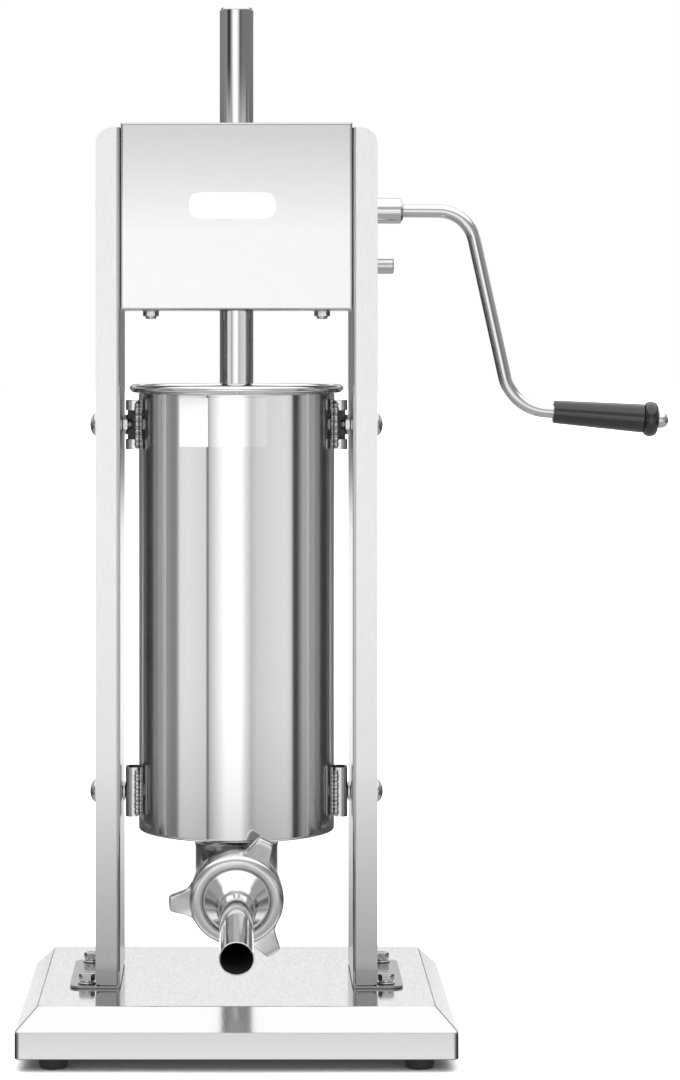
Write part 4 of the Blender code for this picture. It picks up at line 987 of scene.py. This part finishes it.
def build_housing():
    piece("front_cover", housing_cover(), FRONT_STEEL_PAINTED_SHADING, "housing_front_cover", bevel=0.2)
    rear = mirrored(housing_cover(), (0, 1, 0))
    piece("rear_cover", rear, COVER_STEEL, "housing_rear_cover", bevel=0.2)
    for level, bolts in (("bottom", ("housing_bolt_left", "housing_bolt_right")), ("top", ())):
        part = f"housing_{level}_plate"
        piece(f"{level}_plate", bridge_plate(part, bolts), COVER_STEEL, part, bevel=0.3)
    for level in ("lower", "upper"):
        piece(f"guide_{level}", rod_bush(f"rod_bush_{level}"), BRONZE, f"rod_bush_{level}")
    for side, sign in SIDES:
        part = f"housing_bolt_{side}"
        low, high = span(part)
        spot = ((low.x + high.x) / 2, 0, 0)
        piece(f"hex_{part}", housing_bolt(low.z, high.z), ZINC, part, at=spot, turn=UPSIDE_DOWN)
        ring = washer(3.1, 6.3, -low.z - 7.2, -low.z - 5.7)
        piece(f"housing_washer_{side}", ring, ZINC, at=spot, turn=UPSIDE_DOWN)
        for name, z in (("input", INPUT_Z), ("output", OUTPUT_Z)):
            bush = on_side(shaft_bush(), sign)
            piece(f"sleeve_{name}_{side}", bush, BRONZE, f"{name}_bush_{side}", at=(0, SHAFT_Y, z))
    low, high = span("badge_plate")
    at = ((low.x + high.x) / 2, high.y, (low.z + high.z) / 2)
    piece("blank_badge", badge(), BADGE_WHITE, "badge_plate", at=at)


# Gear train

SHAFT_RADIUS, SHAFT_FLAT = 6.0, 1.2
GEAR_MODULE, INPUT_TEETH, OUTPUT_TEETH = 1.25, 20, 44
RACK_MODULE, RACK_PINION_TEETH, RACK_TEETH = 2.0, 10, 56
RACK_ADDENDUM, RACK_DEDENDUM, BACKLASH = 0.8, 1.1, 0.25
GEAR_PRESSURE, RACK_PRESSURE = radians(20), radians(25)
GEAR_X, GEAR_WIDTH, RACK_HALF_WIDTH = 40.0, 10.0, 6.0
RACK_PITCH = pi * RACK_MODULE


def involute(base, radius):
    if radius <= base:
        return 0.0
    pressure = acos(base / radius)
    return tan(pressure) - pressure


def gear_outline(teeth, module, pressure, addendum=1.0, dedendum=1.25, tooth_at=0.0):
    """A spur gear with involute flanks.

    Once it stands along X, it has a tooth at this angle from +Y towards +Z.
    """
    pitch = module * teeth / 2
    base = pitch * cos(pressure)
    root, tip = pitch - dedendum * module, pitch + addendum * module
    half = (pi * module / 2 - BACKLASH / 2) / 2 / pitch + involute(base, pitch)
    start = max(root, base)
    radii = [start + (tip - start) * step / 5 for step in range(6)]
    if base > root:
        radii.insert(0, root)
    flank = [(r, half - involute(base, r)) for r in radii]
    points = []
    for tooth in range(teeth):
        middle = pi / 2 - tooth_at + 2 * pi * tooth / teeth
        points += [(r, middle - a) for r, a in flank] + [(r, middle + a) for r, a in reversed(flank)]
    return [(r * cos(a), r * sin(a)) for r, a in points]


def shaft(name, outline, gear_low, gear_high):
    """A shaft with teeth cut on it, and a flat on the end that takes the crank."""
    start, end = (corner.x for corner in span(name))
    chamfer = 0.8
    outside = ((SHAFT_RADIUS, start, chamfer), (SHAFT_RADIUS, end, chamfer))
    rod = along_x(turned(eased((0, start), *outside, (0, end)), 64))
    flat = block((COLUMN_OUT + 2, -10, SHAFT_RADIUS - SHAFT_FLAT), (end + 5, 10, 12))
    return cut(added(rod, along_x(extruded(outline, gear_low, gear_high))), flat)


def build_gears():
    high, low = (0, SHAFT_Y, INPUT_Z), (0, SHAFT_Y, OUTPUT_Z)
    end = GEAR_X + GEAR_WIDTH
    first = gear_outline(INPUT_TEETH, GEAR_MODULE, GEAR_PRESSURE, tooth_at=pi / INPUT_TEETH - pi / 2)
    made = shaft("input_shaft", first, GEAR_X - 1, end + 1)
    piece("crankshaft", made, ZINC, "input_shaft", "input", high)
    rack = gear_outline(RACK_PINION_TEETH, RACK_MODULE, RACK_PRESSURE, RACK_ADDENDUM, RACK_DEDENDUM, pi)
    made = shaft("output_shaft", rack, -RACK_HALF_WIDTH - 1, RACK_HALF_WIDTH + 1)
    piece("pinion_shaft", made, ZINC, "output_shaft", "output", low)
    large = gear_outline(OUTPUT_TEETH, GEAR_MODULE, GEAR_PRESSURE, tooth_at=pi / 2)
    wheel = added(extruded(large, GEAR_X, end), bar(12, GEAR_X - 6, GEAR_X + 2))
    wheel = along_x(cut(wheel, bar(SHAFT_RADIUS + 0.3, GEAR_X - 10, end + 5)))
    piece("gear_wheel", wheel, ZINC, "large_gear", "output", low, bevel=0.2)


# Piston


def rack_outline(pitch_y, top):
    """A toothed strip in (y, z), with teeth towards +y about the pitch line, counted down from the top."""
    addendum, dedendum = RACK_ADDENDUM * RACK_MODULE, RACK_DEDENDUM * RACK_MODULE
    slope, end = tan(RACK_PRESSURE), 0.4 * RACK_PITCH
    tip, root = pitch_y + addendum, pitch_y - dedendum
    half = (RACK_PITCH / 2 - BACKLASH / 2) / 2
    at_tip, at_root = half - addendum * slope, half + dedendum * slope
    back, bottom = root - 1.5, top - RACK_PITCH * RACK_TEETH - end
    points = [(back, bottom), (root, bottom)]
    for tooth in range(RACK_TEETH - 1, -1, -1):
        z = top - RACK_PITCH * (tooth + 0.5)
        points += [(root, z - at_root), (tip, z - at_tip), (tip, z + at_tip), (root, z + at_root)]
    return points + [(root, top + end), (back, top + end)]


def piston_rod():
    low, high = (corner.z for corner in span("piston_rod"))
    shoulder = span("piston_plate")[1].z + 0.3
    pitch_y = SHAFT_Y - RACK_MODULE * RACK_PINION_TEETH / 2
    rack_top = OUTPUT_Z + RACK_PITCH * round((high - OUTPUT_Z - 16.0) / RACK_PITCH)
    flat, screw, end = pitch_y - RACK_DEDENDUM * RACK_MODULE - 0.1, 7.6, 2.4
    profile = [(0, low), (screw - 1, low)] + threaded(low + 0.8, shoulder - 3, screw, screw - 0.7, 1.5)
    profile += [(screw, shoulder - 2), (screw, shoulder), (ROD_RADIUS - 0.5, shoulder)]
    profile += [(ROD_RADIUS, shoulder + 0.5), (ROD_RADIUS, high - end)]
    profile += arc((ROD_RADIUS - end, high - end), end, 10, 90, 9) + [(0, high)]
    away = block((-20, flat, rack_top - RACK_PITCH * (RACK_TEETH + 0.5)), (20, 20, rack_top + RACK_PITCH / 2))
    teeth = extruded(rack_outline(pitch_y, rack_top), -RACK_HALF_WIDTH, RACK_HALF_WIDTH)
    return added(cut(turned(profile, 128), away), profile_along_x(teeth))


def piston_plate():
    low, high = span("piston_plate")
    lip, height, radius = 3.5, high.z - low.z, high.x
    bore, groove = 7.9, 64.0
    profile = [(bore, 9.0), (15.0, 9.0), (15.0, 0.4), (15.4, 0), (radius - 1.5, 0)]
    profile += [(radius - 0.4, 0.5), (radius, 1.5), (radius, lip), (groove, lip), (groove, height - lip)]
    profile += [(radius, height - lip), (radius, height - 1.0), (radius - 0.3, height - 0.3)]
    profile += [(radius - 1.0, height), (18.0, height), (17.5, height - 0.4), (17.0, height), (bore, height)]
    valve = spot_of("air_valve").x
    stem, recess = bar(3.6, -5, height + 5, valve, 0, 40), bar(6.5, -5, 7.5, valve, 0, 40)
    return cut(turned(profile, 160), stem, recess)


def piston_seal():
    """A ring with two lips, between the piston's edges."""
    low, high, inner, outer = 3.8, 10.2, 64.3, 69.6
    profile = [(inner, low), (outer - 0.8, low)] + arc((outer - 1.0, low + 1.3), 1.0, -60, 60, 6)
    profile += [(outer - 1.4, (low + high) / 2)] + arc((outer - 1.0, high - 1.3), 1.0, -60, 60, 6)
    return turned(profile + [(outer - 0.8, high), (inner, high)], 160)


def air_valve():
    clip, stem = -9.8, 3.0
    profile = [(0, clip - 2), (4.4, clip - 2), (4.8, clip - 1.6), (4.8, clip), (stem, clip), (stem, 0.3)]
    profile += [(7.0, 0.3), (7.5, 0.8), (7.5, 1.6), (7.2, 2.2), (6.3, 3.0), (3.4, 3.0), (stem, 3.4)]
    return turned(profile + [(stem, 7.4)] + arc((1.5, 7.5), 1.5, 0, 90, 6) + [(0, 9.0)], 48)


def rod_nut():
    flats, low, high = 24.0, 0.7, 8.7
    crown, chamfer = flats * 0.48, flats * 0.57
    rounded = [(0, low), (crown, low), (chamfer, 1.8), (chamfer, high), (0, high)]
    nut = trimmed(extruded(hexagon(flats), low, high), turned(rounded, 96))
    return cut(nut, bar(7.8, -1, 10))


def build_piston():
    piece("rod", piston_rod(), ROD_STEEL, "piston_rod", "piston", bevel=0.12)
    bottom, top = (corner.z for corner in span("piston_plate"))
    for name, mesh, surface, part in (
        ("piston_disc", piston_plate(), PISTON_METAL, "piston_plate"),
        ("piston_ring", piston_seal(), SILICONE, "piston_seal"),
        ("rod_nut", rod_nut(), ZINC, "piston_nut"),
    ):
        piece(name, mesh, surface, part, "piston", (0, 0, bottom))
    piece("vent", air_valve(), NYLON, "air_valve", "valve", (spot_of("air_valve").x, 0, top))


# Crank

ARM_RADIUS, HUB_RADIUS = 4.8, 9.4
HUB_LOW, HUB_HIGH = (corner.x for corner in span("crank_hub"))
ARM_CORNER_OUT, ARM_CORNER_DOWN = Vector((169.0, 0, 596.7)), Vector((200.8, 0, 452.6))
ARM_BENDS = (27.0, 33.0)
GRIP_DROP = radians(4.3)
GRIP_AXIS = Vector((cos(GRIP_DROP), 0, -sin(GRIP_DROP)))
GRIP_TURN = Matrix.Rotation(pi / 2 + GRIP_DROP, 3, "Y").to_quaternion()
GRIP_START, GRIP_LENGTH = 30.6, 76.2


def crank_hub():
    low, high, radius = HUB_LOW, HUB_HIGH, HUB_RADIUS
    bore, socket, edge = 6.25, high - 4.6, 0.4
    inside = ((0, socket), (bore, socket), (bore, low, edge))
    outside = ((radius, low, edge), (radius, high - 2.2), (radius - 0.25, high - 1.7))
    outline = eased(*inside, *outside, (radius - 2.6, high - 0.3), (radius - 3.2, high), (0, high))
    return along_x(turned(outline, 96))


def crank_arm():
    start = Vector((HUB_HIGH + 0.3, 0, INPUT_Z))
    end = ARM_CORNER_DOWN + GRIP_AXIS * (GRIP_START + GRIP_LENGTH - 1.0)
    path = rounded_path([start, ARM_CORNER_OUT, ARM_CORNER_DOWN, end], ARM_BENDS)
    across = Vector((0, 1, 0))
    return lofted([ring_across(point, direction, across, ARM_RADIUS, 48) for point, direction in path])


def grip_sleeve():
    """The turning handle, drawn about Z from its inner end at height 0."""
    bore, inner, outer, flange = ARM_RADIUS + 0.6, 8.4, 10.4, 12.8
    profile = [(bore, 0.4), (bore + 0.4, 0)] + arc((inner - 0.9, 0.9), 0.9, -90, 0, 6)
    profile += [(inner + (outer - inner) * i / 12, 1.0 + 63.0 * i / 12) for i in range(1, 12)]
    profile += [(outer, 64.6), (outer + 0.1, 65.6)]
    bead = (GRIP_LENGTH - 65.8) / 2
    profile += arc((flange - 4.2, GRIP_LENGTH - bead), 4.2, -80, 90, 20, bead)
    return turned(profile + [(bore + 0.4, GRIP_LENGTH), (bore, GRIP_LENGTH - 0.4)], 96)


def grip_cap():
    """The domed end that keeps the grip on, drawn about Z from the grip's outer end at height 0."""
    radius, low, shoulder, top = 6.0, 0.3, 2.6, 8.0
    dome = arc((0, shoulder), radius, 0, 84, 14, top - shoulder)
    return turned([(0, low), (radius - 0.5, low), (radius, low + 0.4)] + dome + [(0, top)], 64)


def build_crank():
    piece("hub", crank_hub(), ARM_STEEL, "crank_hub", "crank", (0, SHAFT_Y, INPUT_Z))
    piece("arm", crank_arm(), ARM_STEEL, "crank_arm", "crank", (0, SHAFT_Y, 0))
    inner = ARM_CORNER_DOWN + Vector((0, SHAFT_Y, 0)) + GRIP_AXIS * GRIP_START
    outer = inner + GRIP_AXIS * GRIP_LENGTH
    piece("grip", grip_sleeve(), GRIP_BLACK, "grip_sleeve", "grip", inner, GRIP_TURN)
    piece("end_cap", grip_cap(), ARM_STEEL, "grip_cap", "crank", outer, GRIP_TURN)


# Studio


def linear(tone):
    """A display tone from 0 to 255 as linear light."""
    share = tone / 255
    return share / 12.92 if share <= 0.04045 else ((share + 0.055) / 1.055) ** 2.4


# What the screens round the machine send, as (angle to the right of the front, tone), at three heights
LEVEL_LIGHT = (
    (-180, 120), (-135, 110), (-107, 88), (-100, 122), (-94, 135), (-88, 138),
    (-80, 118), (-74.5, 124), (-69, 218), (-60, 222), (-35.4, 210), (-34.8, 60), (-32.8, 60),
    (-32.2, 180), (-12, 268), (5, 268), (9, 235), (17, 184), (24, 202), (45, 214), (60, 218),
    (66, 206), (70.5, 45), (75.5, 45), (84, 158), (91, 158), (98, 125), (105, 80), (135, 110), (180, 120),
)
UPPER_LIGHT = (
    (-180, 150), (-160, 125), (-70, 135), (-60, 60), (-46, 52), (-30, 195), (-22, 265), (3, 265),
    (20, 150), (24, 90), (31, 100), (40, 118), (160, 125), (180, 150),
)
GAP_LIGHT = (
    (-180, 248), (-130, 248), (-110, 150), (-40, 150), (-25, 185), (25, 185), (40, 150),
    (110, 150), (130, 248), (180, 248),
)
LIGHT_SCALE = 1.25
# The light of the plain screens, and of the dark band that stands behind the machine
CEILING, DARK_BAND, BACK_SCREEN, FRONT_SCREEN, BELOW = 1.2, 0.16, 1.05, 1.06, 0.42
# The share of the level screens' light that is left well below the horizon
LOW_SHARE = 0.30


def ramp_of(tree, source, stops):
    made = node(tree, "ValToRGB", {"Fac": source})
    elements = made.color_ramp.elements
    while len(elements) < len(stops):
        elements.new(0.5)
    for element, (angle, tone) in zip(elements, stops):
        element.position = (angle + 180) / 360
        element.color = grey(linear(tone))
    return made.outputs["Color"]


def worked(tree, operation, *values):
    return node(tree, "Math", dict(enumerate(values)), operation=operation).outputs["Value"]


def build_world():
    """Soft light from large screens round the machine, and plain white where the camera looks past it."""
    world = bpy.data.worlds.new("studio")
    bpy.context.scene.world = world
    world.use_nodes = True
    tree = world.node_tree

    def times(first, second):
        return worked(tree, "MULTIPLY", first, second)

    def less(first, second):
        return worked(tree, "SUBTRACT", first, second)

    def past(source, start, end):
        """From 0 to 1, gently, as the source goes from one value to another."""
        return spread(tree, source, start, end, interpolation_type="SMOOTHSTEP")

    def above(height, start, end):
        """From 0 to 1 as a direction's height goes from one angle in degrees to another."""
        return past(height, sin(radians(start)), sin(radians(end)))

    way = node(tree, "SeparateXYZ", {"Vector": node(tree, "TexCoord").outputs["Generated"]}).outputs
    height = way["Z"]
    low = times(height, -1.0)
    angle = worked(tree, "ARCTAN2", way["X"], times(way["Y"], -1.0))
    share = worked(tree, "ADD", worked(tree, "DIVIDE", angle, 2 * pi), 0.5)
    turned_away = worked(tree, "ABSOLUTE", less(share, 0.5))
    in_front = less(1.0, past(turned_away, 0.06, 0.14))
    behind, right_behind = past(turned_away, 0.30, 0.36), past(turned_away, 0.44, 0.465)
    above_screen = times(above(height, 15, 18), less(1.0, above(height, 30, 36)))
    level, upper, gap = (ramp_of(tree, share, stops) for stops in (LEVEL_LIGHT, UPPER_LIGHT, GAP_LIGHT))
    light = mixed(tree, above(height, 3.0, 5.0), level, upper)
    light = mixed(tree, above(height, 8.0, 9.8), light, gap)
    light = mixed(tree, above(height, 30, 42), light, grey(CEILING))
    light = mixed(tree, times(behind, above_screen), light, grey(DARK_BAND))
    light = mixed(tree, times(right_behind, above(low, 2.0, 3.5)), light, grey(BACK_SCREEN))
    faded = node(tree, "VectorMath", {0: light, "Scale": LOW_SHARE}, operation="SCALE").outputs["Vector"]
    light = mixed(tree, above(low, 6, 12), light, faded)
    light = mixed(tree, times(in_front, above(low, 11.3, 12.2)), light, grey(FRONT_SCREEN))
    light = mixed(tree, above(low, 14, 32), light, grey(BELOW))
    shown = fill(tree, tree.nodes["Background"], {"Color": light, "Strength": LIGHT_SCALE})
    white = node(tree, "Background", {"Color": (1, 1, 1, 1), "Strength": 1.0})
    seen = node(tree, "LightPath").outputs["Is Camera Ray"]
    ends = {"Fac": seen, 1: shown.outputs["Background"], 2: white.outputs["Background"]}
    surface = node(tree, "MixShader", ends).outputs["Shader"]
    tree.links.new(surface, tree.nodes["World Output"].inputs["Surface"])


def build_floor():
    made, tree, shader = new_material("floor_white")
    fill(tree, shader, {"Base Color": grey(0.93), "Roughness": 0.9, "Specular IOR Level": 0.0})
    half = 30.0
    mesh = bpy.data.meshes.new("floor")
    corners = [(-half, -half, 0), (half, -half, 0), (half, half, 0), (-half, half, 0)]
    mesh.from_pydata(corners, [], [(0, 1, 2, 3)])
    mesh.materials.append(made)
    floor = in_scene("floor", mesh)
    floor.visible_glossy = False


def build_lights():
    """Light for what isn't metal. The metal only mirrors the screens."""
    for name, energy, width, tilt, turn in (("above", 2.4, 70, 8, 0), ("front", 0.6, 30, 55, -10)):
        sun = bpy.data.lights.new(name, "SUN")
        sun.energy, sun.angle = energy, radians(width)
        lamp = in_scene(name, sun)
        lamp.rotation_euler = (radians(tilt), 0, radians(turn))
        lamp.visible_glossy = False


def build_camera():
    """A level camera in front, whose picture is shifted down and to the right."""
    lens = bpy.data.cameras.new("camera")
    lens.sensor_width = 36.0
    lens.lens = 107.67
    lens.shift_x, lens.shift_y = 0.0958, -0.1852
    lens.clip_start, lens.clip_end = 0.1, 200.0
    camera = in_scene("camera", lens)
    camera.location = CENTRE + Vector((0, -2.340, 0.5027))
    camera.rotation_euler = (pi / 2, 0, 0)
    bpy.context.scene.camera = camera


build_base()
build_columns()
build_cylinder()
build_outlet()
build_housing()
build_gears()
build_piston()
build_crank()
build_world()
build_floor()
build_lights()
build_camera()
bpy.context.scene.view_settings.view_transform = "Standard"
